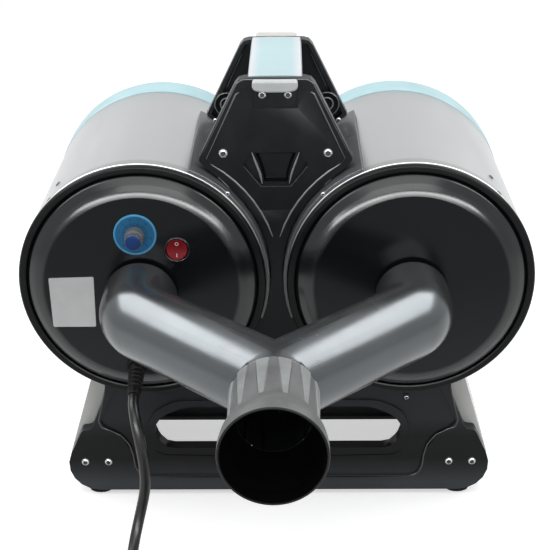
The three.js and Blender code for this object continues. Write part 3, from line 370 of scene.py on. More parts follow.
# ---------------------------------------------------------------- geometry helpers
def smooth_group(degrees):
    """Geometry nodes that join split vertices and shade smooth up to an edge angle."""
    name = f"smooth_{degrees}"
    if name in bpy.data.node_groups:
        return bpy.data.node_groups[name]
    tree = bpy.data.node_groups.new(name, "GeometryNodeTree")
    for way in ("INPUT", "OUTPUT"):
        tree.interface.new_socket("Geometry", in_out=way, socket_type="NodeSocketGeometry")
    chain = [tree.nodes.new(kind) for kind in (
        "NodeGroupInput", "GeometryNodeRemoveAttribute", "GeometryNodeMergeByDistance",
        "GeometryNodeSetShadeSmooth", "GeometryNodeSetShadeSmooth", "NodeGroupOutput")]
    for a, b in zip(chain, chain[1:]):
        tree.links.new(a.outputs["Geometry"], b.inputs["Geometry"])
    _, plain, merge, faces, edges, _ = chain
    plain.inputs["Name"].default_value = "custom_normal"
    merge.inputs["Distance"].default_value = 2e-6
    faces.domain, edges.domain = "FACE", "EDGE"
    faces.inputs["Shade Smooth"].default_value = True
    edges.inputs["Shade Smooth"].default_value = False
    angle = tree.nodes.new("GeometryNodeInputMeshEdgeAngle")
    above = tree.nodes.new("FunctionNodeCompare")
    above.data_type, above.operation = "FLOAT", "GREATER_THAN"
    above.inputs[1].default_value = math.radians(degrees)
    tree.links.new(angle.outputs["Unsigned Angle"], above.inputs[0])
    tree.links.new(above.outputs["Result"], edges.inputs["Selection"])
    return tree


def smoothed(obj, degrees=SMOOTH, name="smooth"):
    obj.modifiers.new(name, "NODES").node_group = smooth_group(degrees)


def softened(obj, width, segments=2, limit=28):
    """Joins the flat faces, rounds the edges a little and shades the rest smooth."""
    smoothed(obj, name="join")
    flat = obj.modifiers.new("flat", "DECIMATE")
    flat.decimate_type = "DISSOLVE"
    flat.angle_limit = math.radians(0.6)
    edge = obj.modifiers.new("edges", "BEVEL")
    edge.width = width * MM
    edge.segments = segments
    edge.limit_method = "ANGLE"
    edge.angle_limit = math.radians(limit)
    edge.miter_outer = "MITER_ARC"
    smoothed(obj)


def shade(obj, degrees):
    work = bmesh.new()
    work.from_mesh(obj.data)
    for face in work.faces:
        face.smooth = True
    for edge in work.edges:
        edge.smooth = not edge.is_manifold or edge.calc_face_angle(0.0) < math.radians(degrees)
    work.to_mesh(obj.data)
    work.free()


def skinned(name, rings, material, degrees=SMOOTH, shift=ORIGIN, around=True, along=False, caps=False):
    """A mesh from rings of points in mm, each joined to the next one; a ring of one point is a pole."""
    verts, numbers, faces = [], [], []
    for ring in rings:
        numbers.append(list(range(len(verts), len(verts) + len(ring))))
        verts += ring
    for a, b in [*zip(numbers, numbers[1:]), *([(numbers[-1], numbers[0])] if along else [])]:
        count = max(len(a), len(b))
        for k in range(count if around else count - 1):
            n = (k + 1) % count
            face = list(dict.fromkeys([a[k % len(a)], a[n % len(a)], b[n % len(b)], b[k % len(b)]]))
            if len(face) > 2:
                faces.append(face)
    if caps:
        faces += [ring for ring in (numbers[0], numbers[-1]) if len(ring) > 2]
    mesh = bpy.data.meshes.new(name)
    mesh.from_pydata([tuple((Vector(v) + shift) * MM) for v in verts], [], faces)
    work = bmesh.new()
    work.from_mesh(mesh)
    bmesh.ops.remove_doubles(work, verts=work.verts, dist=1e-7)
    bmesh.ops.recalc_face_normals(work, faces=work.faces)
    work.to_mesh(mesh)
    work.free()
    mesh.materials.append(MAT[material])
    obj = placed(name, mesh)
    shade(obj, degrees)
    return obj


def fillet(points, steps=6, closed=True):
    """Rounds the corners of an outline: each point is (a, b) or (a, b, radius)."""
    out = []
    count = len(points)
    for i, point in enumerate(points):
        p = Vector(point[:2])
        radius = point[2] if len(point) > 2 else 0.0
        if radius < 1e-6 or (not closed and i in (0, count - 1)):
            out.append((p.x, p.y))
            continue
        before = Vector(points[i - 1][:2]) - p
        after = Vector(points[(i + 1) % count][:2]) - p
        la, lb = before.length, after.length
        u, v = before / la, after / lb
        between = u.angle(v)
        if between > math.pi - 1e-3:
            out.append((p.x, p.y))
            continue
        back = min(radius / math.tan(between / 2), 0.49 * la, 0.49 * lb)
        radius = back * math.tan(between / 2)
        middle = p + (u + v).normalized() * (radius / math.sin(between / 2))
        a, b = p + u * back - middle, p + v * back - middle
        turn = a.angle_signed(b)
        for k in range(steps + 1):
            out.append(tuple(middle + Matrix.Rotation(-turn * k / steps, 2) @ a))
    return out


def arc(cx, cz, radius, start, end, steps):
    angles = [math.radians(start + (end - start) * i / steps) for i in range(steps + 1)]
    return [(cx + radius * math.cos(a), cz + radius * math.sin(a)) for a in angles]


def turned(points, angle, centre):
    turn = Matrix.Rotation(angle, 2)
    return [tuple(turn @ Vector(p) + Vector(centre)) for p in points]


def lathe_rings(profile, steps):
    """The rings of points that a profile of (radius, y) makes when it turns about Y."""
    return [[(r * math.sin(2 * math.pi * k / steps), y, r * math.cos(2 * math.pi * k / steps))
             for k in range(steps if r > 1e-6 else 1)] for r, y in profile]


def lathe(name, profile, material, centre=(0, 0, 0), steps=128, fine=6, turn=Matrix.Identity(3)):
    """A profile of (radius, y) or (radius, y, fillet) turned about Y; fine is the steps of a fillet."""
    rings = [[turn @ Vector(p) + Vector(centre) for p in ring] for ring in lathe_rings(fillet(profile, fine), steps)]
    return skinned(name, rings, material, along=True)


def rod(name, radius, y0, y1, material, centre, steps, edge=0.0):
    """A round bar along Y, with a fillet at y0."""
    return lathe(name, [(0, y0), (radius, y0, edge), (radius, y1), (0, y1)], material, centre, steps)


def prism(name, outline, y0, y1, material):
    """An outline of (x, z) carried from y0 to y1."""
    return skinned(name, [[(x, y, z) for x, z in outline] for y in (y0, y1)], material, caps=True)


def block(name, x0, x1, y0, y1, z0, z1, material):
    return prism(name, [(x0, z0), (x1, z0), (x1, z1), (x0, z1)], y0, y1, material)


def evaluated(obj):
    """A new mesh of the object as its modifiers leave it."""
    bpy.context.view_layer.update()
    graph = bpy.context.evaluated_depsgraph_get()
    return bpy.data.meshes.new_from_object(obj.evaluated_get(graph), depsgraph=graph)


def combine(obj, tools, operation="DIFFERENCE", degrees=SMOOTH):
    for tool in tools:
        modifier = obj.modifiers.new("combine", "BOOLEAN")
        modifier.object = tool
        modifier.operation = operation
        modifier.solver = "EXACT"
    result, old = evaluated(obj), obj.data
    obj.modifiers.clear()
    obj.data = result
    bpy.data.meshes.remove(old)
    for tool in tools:
        bpy.data.objects.remove(tool)
    shade(obj, degrees)


def joined(name, pieces):
    """Several mesh objects made into one, keeping their materials."""
    work, materials = bmesh.new(), {}
    for piece in pieces:
        start = len(work.faces)
        work.from_mesh(piece.data)
        work.faces.ensure_lookup_table()
        own = [materials.setdefault(material, len(materials)) for material in piece.data.materials]
        for face in work.faces[start:]:
            face.material_index = own[face.material_index]
    keep, *rest = pieces
    keep.data.materials.clear()
    for material in materials:
        keep.data.materials.append(material)
    work.to_mesh(keep.data)
    work.free()
    for piece in rest:
        bpy.data.objects.remove(piece)
    keep.name = name
    return keep


def moved(obj, place, turn):
    """Turns a piece about the machine's origin and moves it to place."""
    there = Matrix.Translation((Vector(place) + ORIGIN) * MM)
    obj.data.transform(there @ turn.to_4x4() @ Matrix.Translation(-ORIGIN * MM))
    return obj


def seat(obj, body, slot, *nodes):
    """The piece rides on a body and may stand for CAD nodes; its slot is not used."""
    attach(obj, body)
    if nodes:
        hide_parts(*nodes)
    return obj


# ---------------------------------------------------------------- cord
def mix(a, b, start, end, t):
    return a * (end - t) / (end - start) + b * (t - start) / (end - start)


def spline_points(points, spacing):
    """Points on a centripetal curve through the given ones."""
    ends = [2 * points[0] - points[1], *points, 2 * points[-1] - points[-2]]
    out = []
    for i in range(1, len(ends) - 2):
        p0, p1, p2, p3 = ends[i - 1:i + 3]
        t1 = (p1 - p0).length ** 0.5
        t2 = t1 + (p2 - p1).length ** 0.5
        t3 = t2 + (p3 - p2).length ** 0.5
        steps = max(1, round((p2 - p1).length / spacing))
        for k in range(steps):
            t = t1 + (t2 - t1) * k / steps
            a1, a2, a3 = mix(p0, p1, 0.0, t1, t), mix(p1, p2, t1, t2, t), mix(p2, p3, t2, t3, t)
            out.append(mix(mix(a1, a2, 0.0, t2, t), mix(a2, a3, t1, t3, t), t1, t2, t))
    out.append(points[-1].copy())
    return out


CORD_RADIUS = 4.5
CORD_FLOOR = CORD_RADIUS + 0.2
COIL_START = (-119.3, -159.0)
COIL_INNER, COIL_PITCH, COIL_TURNS, COIL_LEAD, COIL_TAIL = 38.5, 10.0, 2.375, 13.0, 34.0
PLUG_RADIUS, PIN_SPREAD = 18.2, 9.5
FREE_POINTS = [Vector(p) for p in (
    (-116, -36.6, 131), (-115.6, -45, 127.6), (-114, -52.8, 121.6), (-112, -58.4, 113), (-110, -61.6, 103),
    (-108.4, -63, 92), (-107.4, -63.2, 80), (-107.2, -63, 68), (-108.4, -63, 56), (-111, -64.4, 44),
    (-114, -68.6, 31.6), (-116.6, -76, 20.6), (-118.2, -87, 11.8), (-119, -100, 6.6), (-119.3, -114, 4.8),
    (-119.3, -130, 4.7), (-119.3, -145, 4.7),
)]


def coil_points():
    """In on the floor, up in the half turn at the middle and out again on top."""
    in_turn = 2 * math.pi * COIL_TURNS
    outer = COIL_INNER + COIL_PITCH * COIL_TURNS
    total = 2 * in_turn + math.pi
    steps = round(total / (2 * math.pi) * 36)
    cx, cy = COIL_START[0] + outer, COIL_START[1] - COIL_LEAD
    points = [Vector((*COIL_START, CORD_FLOOR))]
    for i in range(steps + 1):
        turned = total * i / steps
        climb = min(max((turned - in_turn) / math.pi, 0.0), 1.0)
        inwards = min(turned, in_turn) / in_turn
        outwards = max(turned - in_turn - math.pi, 0.0) / in_turn
        radius = outer - (outer - COIL_INNER) * (inwards - outwards) - 1.7 * math.sin(math.pi * climb)
        angle = math.pi + turned
        height = CORD_FLOOR + COIL_PITCH * (1 - math.cos(math.pi * climb)) / 2
        points.append(Vector((cx + radius * math.cos(angle), cy + radius * math.sin(angle), height)))
    last = points[-1]
    lift = PLUG_RADIUS + 0.2 - last.z
    for share, rise in ((0.3, 0.12), (0.65, 0.75), (0.85, 1.0), (1.0, 1.0)):
        points.append(last + Vector((COIL_TAIL * share, 0.0, lift * rise)))
    return points, Vector((cx, cy, 0.0))


coil, coil_centre = coil_points()
route = spline_points([*FREE_POINTS, *coil], 5.0)


def make_cord():
    data = bpy.data.curves.new("mains_lead", "CURVE")
    data.dimensions = "3D"
    line = data.splines.new("POLY")
    line.points.add(len(route) - 1)
    for point, place in zip(line.points, route):
        point.co = (*(place * MM), 1.0)
    data.bevel_depth = CORD_RADIUS * MM
    data.bevel_resolution = 5
    data.use_fill_caps = True
    data.materials.append(MAT["cord_black"])
    return seat(placed("mains_lead", data), "machine", "cord_black", "mains_cord", "mains_cord_coil")


def make_gland():
    """A flange on the cover and a tapered boot with flex grooves, pointing down."""
    profile = [(0, 6.0), (6.9, 6.0), (7.4, -1.0), (7.4, -3.6, 0.9), (7.0, -5.2)]
    for k in range(5):
        y = -6.4 - 4.2 * k
        wide = 7.2 + 0.062 * y
        profile += [(wide, y, 0.35), (wide - 1.0, y - 0.5, 0.2), (wide - 1.0, y - 1.7, 0.2),
                    (wide - 0.05, y - 2.2, 0.35)]
    profile += [(5.3, -31.0, 0.5), (5.0, -32.0, 0.4), (0, -32.0)]
    centre, tilt = (GLAND[0], COVER_FACE, GLAND[1]), Matrix.Rotation(math.radians(20.0), 3, "X")
    boot = lathe("strain_relief", profile, "gland_rubber", centre, 48, 3, tilt)
    combine(boot, [block("behind", -150, -90, SEAT, COVER_FACE + 20, -100, -40, "gland_rubber")])
    flange = rod("flange", 4.5, 5.5, -1.0, "gland_rubber", centre, 48, 0.4)
    ring = [(4.4, -0.3), (8.8, -0.3, 0.4), (8.8, -2.6, 0.8), (4.4, -2.6)]
    pieces = [boot, flange, lathe("seat_ring", ring, "gland_rubber", centre, 48)]
    return seat(joined("strain_relief", pieces), "machine", "gland_rubber", "cord_gland")


def make_plug():
    """A straight moulded plug with two round pins, earth clips and a ribbed grip, lying on the coil's side."""
    turn = Matrix.Rotation(-math.pi / 2, 3, "Z")
    start = route[-1] + Vector((0.3, 0.0, 0.0)) - ORIGIN
    grip = [(0, 0), (5.8, 0, 0.8), (7.0, 16.0, 4.0), (9.3, 22.0, 2.0), (13.5, 24.6, 2.0), (14.2, 32.0, 3.0),
            (17.9, 43.0, 3.0), (17.9, 57.6, 0.8), (15.0, 58.0, 0.4), (0, 58.0)]
    body = lathe("plug_body", grip, "plug_black", steps=96, fine=5)
    tools, clips, pins = [], [], []
    for side in (-1, 1):
        edge, clip = side * PLUG_RADIUS, side * 16.9
        tools.append(block("clip", -3, 3, 42, 60, edge - 2.2, edge + 2.2, "plug_black"))
        tools.append(rod("socket", 2.75, 50, 60, "plug_black", (side * PIN_SPREAD, 0, 0), 32))
        clips.append(block("earth", -2.2, 2.2, 44, 57.6, clip - 0.5, clip + 0.5, "pin_brass"))
        for k in range(5):
            y, low, high = 27.6 + 2.4 * k, *sorted((side * 13.4, side * 20))
            tools.append(block("rib", -7, 7, y, y + 1.0, low, high, "plug_black"))
    combine(body, tools)
    plug = moved(joined("plug_body", [body, *clips]), start, turn)
    seat(plug, "machine", "plug_black", "mains_plug")
    for side, word in ((-1, "left"), (1, "right")):
        centre = (side * PIN_SPREAD, 0, 0)
        tip = [(0, 50.3), (2.35, 50.3, 0.1), (2.35, 76.8, 1.6), (0, 76.8)]
        sleeve = [(2.2, 57.6), (2.42, 57.6), (2.42, 67.5, 0.1), (2.2, 67.5)]
        pin = joined(f"pin_{word}", [lathe(f"pin_{word}", tip, "pin_brass", centre, 32),
                                     lathe("sleeve", sleeve, "plug_black", centre, 32)])
        pins.append(seat(moved(pin, start, turn), "machine", "pin_brass", f"plug_pin_{word}"))
    return [plug, *pins]


def make_tie():
    """A rubber band round all the turns of the coil."""
    gap, thick, half = 0.9, 1.1, 5.5
    low, high = COIL_INNER - CORD_RADIUS - gap, COIL_INNER + COIL_PITCH * COIL_TURNS + CORD_RADIUS + gap
    top = CORD_FLOOR + COIL_PITCH + CORD_RADIUS + gap
    outer = fillet([(low, 0.05, 3.4), (high, 0.05, 4.6), (high, top, 4.6), (low, top, 3.4)])
    inner = fillet([(low + thick, 1.0, 3.0), (high - thick, 1.0, 4.0), (high - thick, top - thick, 4.0),
                    (low + thick, top - thick, 3.0)])
    turn = Matrix.Rotation(math.radians(-65.0), 3, "Z")
    rings = [[turn @ Vector((r, side, z)) + coil_centre for r, z in line]
             for line, side in ((outer, -half), (inner, -half), (inner, half), (outer, half))]
    band = skinned("coil_tie", rings, "tie_band", 50, Vector(), along=True)
    return seat(band, "machine", "cord_black")


lead = make_cord()
gland = make_gland()
plug_pieces = make_plug()
tie = make_tie()


# ---------------------------------------------------------------- drums
def make_shell(side, cx):
    """Rolled steel tube with a curled front rim."""
    inside, back = RIM - 1.2, 209.99
    profile = [(inside, 0.3), (RIM + 0.1, 0.3, 0.25), (RIM + 0.9, 0.9, 0.55), (RIM + 0.9, 2.2, 0.55),
               (RIM, 3.0, 0.4), (RIM, back, 0.2), (inside, back)]
    shell = lathe(f"{side}_shell", profile, "drum_steel", (cx, 0, 0), 160, 4)
    seat(shell, "machine", "drum_steel", f"{side}_drum_shell")


def make_bezel(side, cx):
    profile = [(94.4, -4.6, 0.4), (95.6, -5.2, 0.4), (99.4, -5.2, 1.2), (100.7, -3.6, 1.2), (100.7, 0.0, 0.2),
               (98.6, 0.0), (98.6, 9.0, 0.5), (94.5, 9.0, 0.5)]
    bezel = lathe(f"{side}_bezel", profile, "bezel_black", (cx, 0, 0), 160, 4)
    seat(bezel, "machine", "bezel_black", f"{side}_rim_bezel")


def make_front_cover(side, cx):
    """A domed cover: a slope from the rim, a round shoulder and a flat face with a neck for the pipe."""
    inside = [(91.7, 8.8), (91.7, -2.0, 3.0), (78.0, COVER_FACE + 2.5, 6.0), (0, COVER_FACE + 2.5)]
    outside = [(0, COVER_FACE), (77.6, COVER_FACE, 1.2), (82.0, -12.6, 18.0), (86.5, -10.0, 18.0),
               (91.6, -5.9, 6.0), (94.2, -2.4, 2.0), (94.2, 8.8)]
    cover = lathe(f"{side}_cover", [*inside, *outside], "dome_black", (cx, 0, 0), 160, 8)
    neck, axis = PIPE_RADIUS - PIPE_WALL - 0.5, (cx, 0, PIPE_DROP)
    combine(cover, [rod("neck", neck, -40.0, COVER_FACE + 1.0, "dome_black", axis, 96, 0.5)], "UNION")
    tools = [rod("bore", neck - 2, -45, 5, "dome_black", axis, 96)]
    if side == "left":
        for (x, z), radius in ((DIAL, DIAL_HOLE), (ROCKER, ROCKER_HOLE), (GLAND, GLAND_HOLE)):
            tools.append(rod("hole", radius, -18, 0, "dome_black", (x, 0, z), 48))
    combine(cover, tools, degrees=24)
    seat(cover, "machine", "dome_black", f"{side}_front_cover")


def make_rear_cap(side, cx):
    """A cup with a rounded rim and a wheel of air slots."""
    over, outer, back, wall = RIM + 0.06, 100.95, 250.0, 2.6
    inside = [(0, back - wall), (outer - wall, back - wall, 11.4), (outer - wall, 210.3)]
    outside = [(over, 210.3), (over, 207.4), (outer, 211.5, 2.0), (outer, back, 14.0), (0, back)]
    cap = lathe(f"{side}_rear_grille", [*inside, *outside], "rear_cyan", (cx, 0, 0), 160, 10)
    slot = fillet([(-3.75, 30.0, 3.7), (3.75, 30.0, 3.7), (3.75, 78.0, 3.7), (-3.75, 78.0, 3.7)], 5)
    slots = [prism("slot", turned(slot, math.radians(20.0 * i), (cx, 0)), back - 6, back + 2, "rear_cyan")
             for i in range(18)]
    combine(cap, [joined("slots", slots)])
    softened(cap, 0.6, limit=40)
    seat(cap, f"{side}_cap", "rear_cyan", f"{side}_rear_cap")


for side, cx in (("left", -HALF), ("right", HALF)):
    make_shell(side, cx)
    make_bezel(side, cx)
    make_front_cover(side, cx)
    make_rear_cap(side, cx)


# ---------------------------------------------------------------- pipe and coupling
def pipe_half(radius):
    """Rings from the neck round the elbow and along the arm to the middle plane."""
    rings = []

    def ring_at(centre, way, normal):
        across = way.cross(Vector((0, 0, 1))).normalized()
        ring = []
        for k in range(PIPE_SIDES):
            a = 2 * math.pi * k / PIPE_SIDES
            point = across * (radius * math.cos(a)) + Vector((0, 0, radius * math.sin(a)))
            ring.append(point - way * (point.dot(normal) / way.dot(normal)) + centre)
        rings.append(ring)

    down, arm = Vector((0, -1, 0)), Vector((-1, -1, 0)).normalized()
    ring_at(Vector((HALF, COVER_FACE - 5.5, PIPE_DROP)), down, down)
    back = ELBOW_BEND * math.tan(math.radians(22.5))
    pivot = Vector((HALF - ELBOW_BEND, back - ELBOW_REACH, PIPE_DROP))
    for k in range(11):
        a = math.radians(45.0 * k / 10)
        way = Vector((-math.sin(a), -math.cos(a), 0))
        ring_at(pivot + Vector((ELBOW_BEND * math.cos(a), -ELBOW_BEND * math.sin(a), 0)), way, way)
    ring_at(Vector((0, JUNCTION, PIPE_DROP)), arm, Vector((-1, 0, 0)))
    return rings


def pipe_halves(radius):
    """The right and the left half, the left one a little over the middle."""
    right = pipe_half(radius)
    left = [[Vector((-p.x, p.y, p.z)) for p in ring] for ring in right]
    left[-1] = [Vector((0.4, p.y, p.z)) for p in left[-1]]
    return [skinned("half", rings, "pipe_gunmetal", caps=True) for rings in (right, left)]


def make_pipe():
    """Two elbows and two arms that merge into one stub, hollow throughout."""
    solid, left = pipe_halves(PIPE_RADIUS)
    inner, inner_left = pipe_halves(PIPE_RADIUS - PIPE_WALL)
    collar, stub, mouth, *ends = (
        rod("bar", radius, y0, y1, "pipe_gunmetal", (x, 0, PIPE_DROP), PIPE_SIDES, edge)
        for radius, y0, y1, x, edge in (
            (29.4, COUPLING_BACK + 1.2, JUNCTION + 2, 0, 0.4), (27.8, COUPLING_BACK - 32, JUNCTION, 0, 0.6),
            (25.6, COUPLING_BACK - 34, JUNCTION, 0, 0), (27.4, COVER_FACE - 9, COVER_FACE, -HALF, 0),
            (27.4, COVER_FACE - 9, COVER_FACE, HALF, 0)))
    combine(solid, [left, collar, stub], "UNION")
    combine(inner, [inner_left], "UNION")
    combine(solid, [inner, mouth, *ends], degrees=28)
    solid.name = "twin_pipe"
    seat(solid, "pipe", "pipe_gunmetal", "y_pipe")


def make_coupling():
    """A rubber sleeve: twelve wedge flutes that fade out forwards, and a flared round mouth. The flutes are coloured
    lighter as painted light, the faces inside near-black as painted shade, and the mouth's front faces darker.
    """
    back, face, bore = COUPLING_BACK, MOUTH, 28.3
    flutes, columns, reach = 12, 24, 53.0  # wedges, points round each of them, and how far forward they go
    profile = [(bore, back), (29.9, back, 0.6), (30.2, back - 26), (30.4, back - 50, 20.0),
               (35.6, face + 17, 12.0), (36.6, face + 9, 6.0), (36.6, face, 1.4), (34.4, face, 0.8),
               (34.0, face + 14, 4.0), (bore - 2.6, back - 33), (bore, back - 33, 0.4)]
    points = fillet(profile)
    dense = []
    for (r0, y0), (r1, y1) in zip(points, points[1:] + points[:1]):
        count = max(1, int(abs(y1 - y0) / 1.6)) if min(r0, r1) > 29.0 and max(y0, y1) > face + 20 else 1
        dense += [(r0 + (r1 - r0) * k / count, y0 + (y1 - y0) * k / count) for k in range(count)]
    pitch = 2 * math.pi / flutes
    rings = []
    for ring in lathe_rings(dense, flutes * columns):
        out = []
        for index, (x, y, z) in enumerate(ring):
            radius, column = math.hypot(x, z), index % columns - columns // 2
            along = min(max((back - 1.0 - y) / reach, 0.0), 1.0)
            edge = min((4.9 - 3.6 * along) / radius, 0.45 * pitch)
            share = abs(column) / 6
            away = edge * share if share <= 1 else edge + (pitch / 2 - edge) * (share - 1)
            angle = (index // columns + 0.5) * pitch + math.copysign(away, column)
            if radius > 29.5 and y > back - 56:
                rise = 1.9 * (1 - along) ** 0.35 * min(1.0, max(0.0, (back - 1.4 - y) / 1.2 + 0.0001))
                radius += rise * min(max(6.5 - abs(column), 0.0), 1.0)
            out.append((radius * math.sin(angle), y, radius * math.cos(angle) + PIPE_DROP))
        rings.append(out)
    coupling = skinned("outlet_sleeve", rings, "coupling_grey", 38, along=True)
    for material in ("flute_grey", "bore_shade", "mouth_lip"):
        coupling.data.materials.append(MAT[material])
    for polygon in coupling.data.polygons:
        place = polygon.center / MM - ORIGIN
        x, z = place.x, place.z - PIPE_DROP
        radius, angle = math.hypot(x, z), math.atan2(x, z)
        offset = abs(angle % pitch - pitch / 2) * radius
        along = (back - 1.0 - place.y) / reach
        # Painted shade on the faces inside the sleeve, darker front faces at the mouth, and painted light on the
        # raised flutes.
        if polygon.normal.x * x + polygon.normal.z * z < -0.3 * radius:
            polygon.material_index = 2
        elif polygon.normal.y < -0.5 and place.y < face + 2:
            polygon.material_index = 3
        elif 0.0 < along < 0.97 and radius > 29.0 and offset < 5.0 - 3.6 * along:
            polygon.material_index = 1
    seat(coupling, "coupling", "coupling_grey", "outlet_coupling")


make_pipe()
make_coupling()


# ---------------------------------------------------------------- controls
def text_piece(text, size, material, centre):
    """Raised print, facing forwards."""
    data = bpy.data.curves.new("text", "FONT")
    data.body, data.size, data.align_x, data.align_y = text, size * MM, "CENTER", "CENTER"
    data.extrude, data.resolution_u = 0.06 * MM, 4
    obj = placed("text", data)
    mesh = evaluated(obj)
    bpy.data.objects.remove(obj)
    mesh.transform(Matrix.Translation((Vector(centre) + ORIGIN) * MM) @ Matrix.Rotation(math.pi / 2, 4, "X"))
    mesh.materials.clear()
    mesh.materials.append(MAT[material])
    return placed("text", mesh)


def make_dial():
    """A disc with a raised rim, ticks over 270 degrees and the numbers 0 to 9."""
    cx, cz = DIAL
    face = SEAT - 1.2
    disc = [(4.4, SEAT), (4.4, face + 0.2, 0.2), (15.4, face + 0.2), (15.4, SEAT)]
    rim = [(15.4, SEAT), (15.4, face - 0.1, 0.2), (15.9, face - 0.4, 0.3), (16.8, face - 0.4, 0.3),
           (17.2, face + 0.4, 0.3), (17.2, SEAT)]
    pieces = [lathe("speed_dial", disc, "dial_blue", (cx, 0, cz), 96, 3),
              lathe("dial_rim", rim, "dial_rim", (cx, 0, cz), 96, 3)]
    for k in range(28):
        r0, half = (8.9, 0.34) if k % 3 == 0 else (9.6, 0.2)
        tick = [(-half, r0), (half, r0), (half, 10.6), (-half, 10.6)]
        tick = turned(tick, math.radians(135.0 - 10.0 * k), DIAL)
        pieces.append(prism("tick", tick, face + 0.14, face + 0.25, "print_dark"))
    for k in range(10):
        angle = math.radians(-135.0 + 30.0 * k)
        place = (cx + 12.9 * math.sin(angle), face + 0.2, cz + 12.9 * math.cos(angle))
        pieces.append(text_piece(str(k), 3.3, "print_dark", place))
    seat(joined("speed_dial", pieces), "machine", "dial_blue", "dial_plate")


def make_knob():
    """A stepped knob with fine grip ribs, a blue cap and a dark pointer line."""
    centre = (DIAL[0], 0, DIAL[1])
    base = SEAT - 0.3 - 1.2 - 0.6
    tip = base - 16.0
    body = [(3.2, base - 10), (3.2, base), (7.9, base, 0.3), (7.6, tip + 6.8, 0.4), (6.6, tip + 6.0, 0.3),
            (6.3, tip + 1.1, 0.3), (5.0, tip + 0.7), (0, tip + 0.7), (0, base - 10)]
    cap = [(0, tip), (5.6, tip, 0.5), (6.1, tip + 1.0), (0, tip + 1.0)]
    pieces = [lathe("knob_body", body, "knob_grey", centre, 96, 3),
              lathe("knob_cap", cap, "knob_cap_blue", centre, 96, 3)]
    for k in range(24):
        rib = turned([(-0.32, 6.4), (0.32, 6.4), (0.2, 7.0), (-0.2, 7.0)], 2 * math.pi * k / 24, DIAL)
        pieces.append(prism("rib", rib, tip + 1.6, tip + 6.2, "knob_grey"))
    line = turned([(-0.5, 0.6), (0.5, 0.6), (0.5, 5.5), (-0.5, 5.5)], math.radians(-150.0), DIAL)
    pieces.append(prism("pointer", line, tip - 0.25, tip + 0.3, "switch_black"))
    seat(joined("knob_body", pieces), "speed_knob", "knob_grey", "speed_knob")


def make_rocker():
    """A round bezel and a dished paddle, tilted to one side and printed with a ring and a line."""
    cx, cz = ROCKER
    bezel = [(9.2, SEAT - 2.0, 0.3), (9.9, SEAT - 2.4, 0.3), (10.4, SEAT - 1.6, 0.6), (10.8, SEAT, 0.2),
             (9.8, SEAT), (9.8, SEAT + 14, 0.5), (0, SEAT + 14), (0, SEAT + 11), (9.2, SEAT + 11)]
    bezel = lathe("switch_bezel", bezel, "switch_black", (cx, 0, cz), 72, 3)
    seat(bezel, "machine", "switch_black", "rocker_bezel")
    centre, tilt = Vector((cx, COVER_FACE, cz)), Matrix.Rotation(math.radians(-10.0), 3, "X")
    dish = 26.0  # radius of the hollow across the paddle

    def depth(z):
        return math.sqrt(dish ** 2 - z * z) - dish - 2.8

    sinks = ((0, 0), (1.5, 0), (3.0, 0), (4.5, 0), (6.0, 0), (7.2, 0), (7.9, 0.03), (8.25, 0.16), (8.4, 0.5))
    rings = [[Vector((x, y + depth(z), z)) for x, y, z in ring] for ring in lathe_rings(sinks, 72)]
    rings.append([Vector((p.x, 3.0, p.z)) for p in rings[-1]])
    rings = [[tilt @ p + centre for p in ring] for ring in rings]
    paddle = skinned("switch_paddle", rings, "switch_red", caps=True)
    ring = [(1.0, -0.06), (1.45, -0.06), (1.45, 0.06), (1.0, 0.06)]
    marks = [lathe("mark_o", ring, "print_white", steps=32),
             block("mark_i", -0.22, 0.22, -0.06, 0.06, -1.5, 1.5, "print_white")]
    for mark, z in zip(marks, (4.6, -4.6)):
        turn = tilt @ Matrix.Rotation(math.asin(z / dish), 3, "X")
        moved(mark, centre + tilt @ Vector((0, depth(z), z)), turn)
    seat(joined("switch_paddle", [paddle, *marks]), "rocker", "switch_red", "rocker_button")


def make_label():
    """A bare label plate on the left cover."""
    outline = fillet([(-182.4, -33.9, 1.2), (-147.6, -33.9, 1.2), (-147.0, 10.4, 1.2), (-183.4, 9.4, 1.2)])
    seat(prism("label_plate", outline, COVER_FACE - 0.35, COVER_FACE + 0.05, "label_film"), "machine", "cap_grey")


make_dial()
make_knob()
make_rocker()
make_label()


# ---------------------------------------------------------------- screws
def make_screw(name, place, radius, height, way, share=0.62, metal="screw_chrome"):
    """A button-head screw with a hexagon socket, its head standing on place and pointing along way."""
    dome = [(0, -height), (radius * 0.64, -height, 0.3), (radius * 0.9, -height * 0.66, 1.0),
            (radius, -0.25, 0.25), (radius, 0.3), (0, 0.3)]
    screw = lathe(name, dome, metal, steps=32, fine=4)
    hexagon, within = (arc(0, 0, radius * size, 30, 330, 5) for size in (share, share - 0.01))
    # The socket's walls and floor are near-black: painted shade in the hole.
    combine(screw, [prism("socket", hexagon, -height - 1, -height * 0.35, "socket_shade")])
    floor = prism("socket_floor", within, -height * 0.42, -height * 0.3, "socket_shade")
    turn = Vector((0, -1, 0)).rotation_difference(Vector(way)).to_matrix()
    seat(moved(joined(name, [screw, floor]), place, turn), "machine", "control_steel")


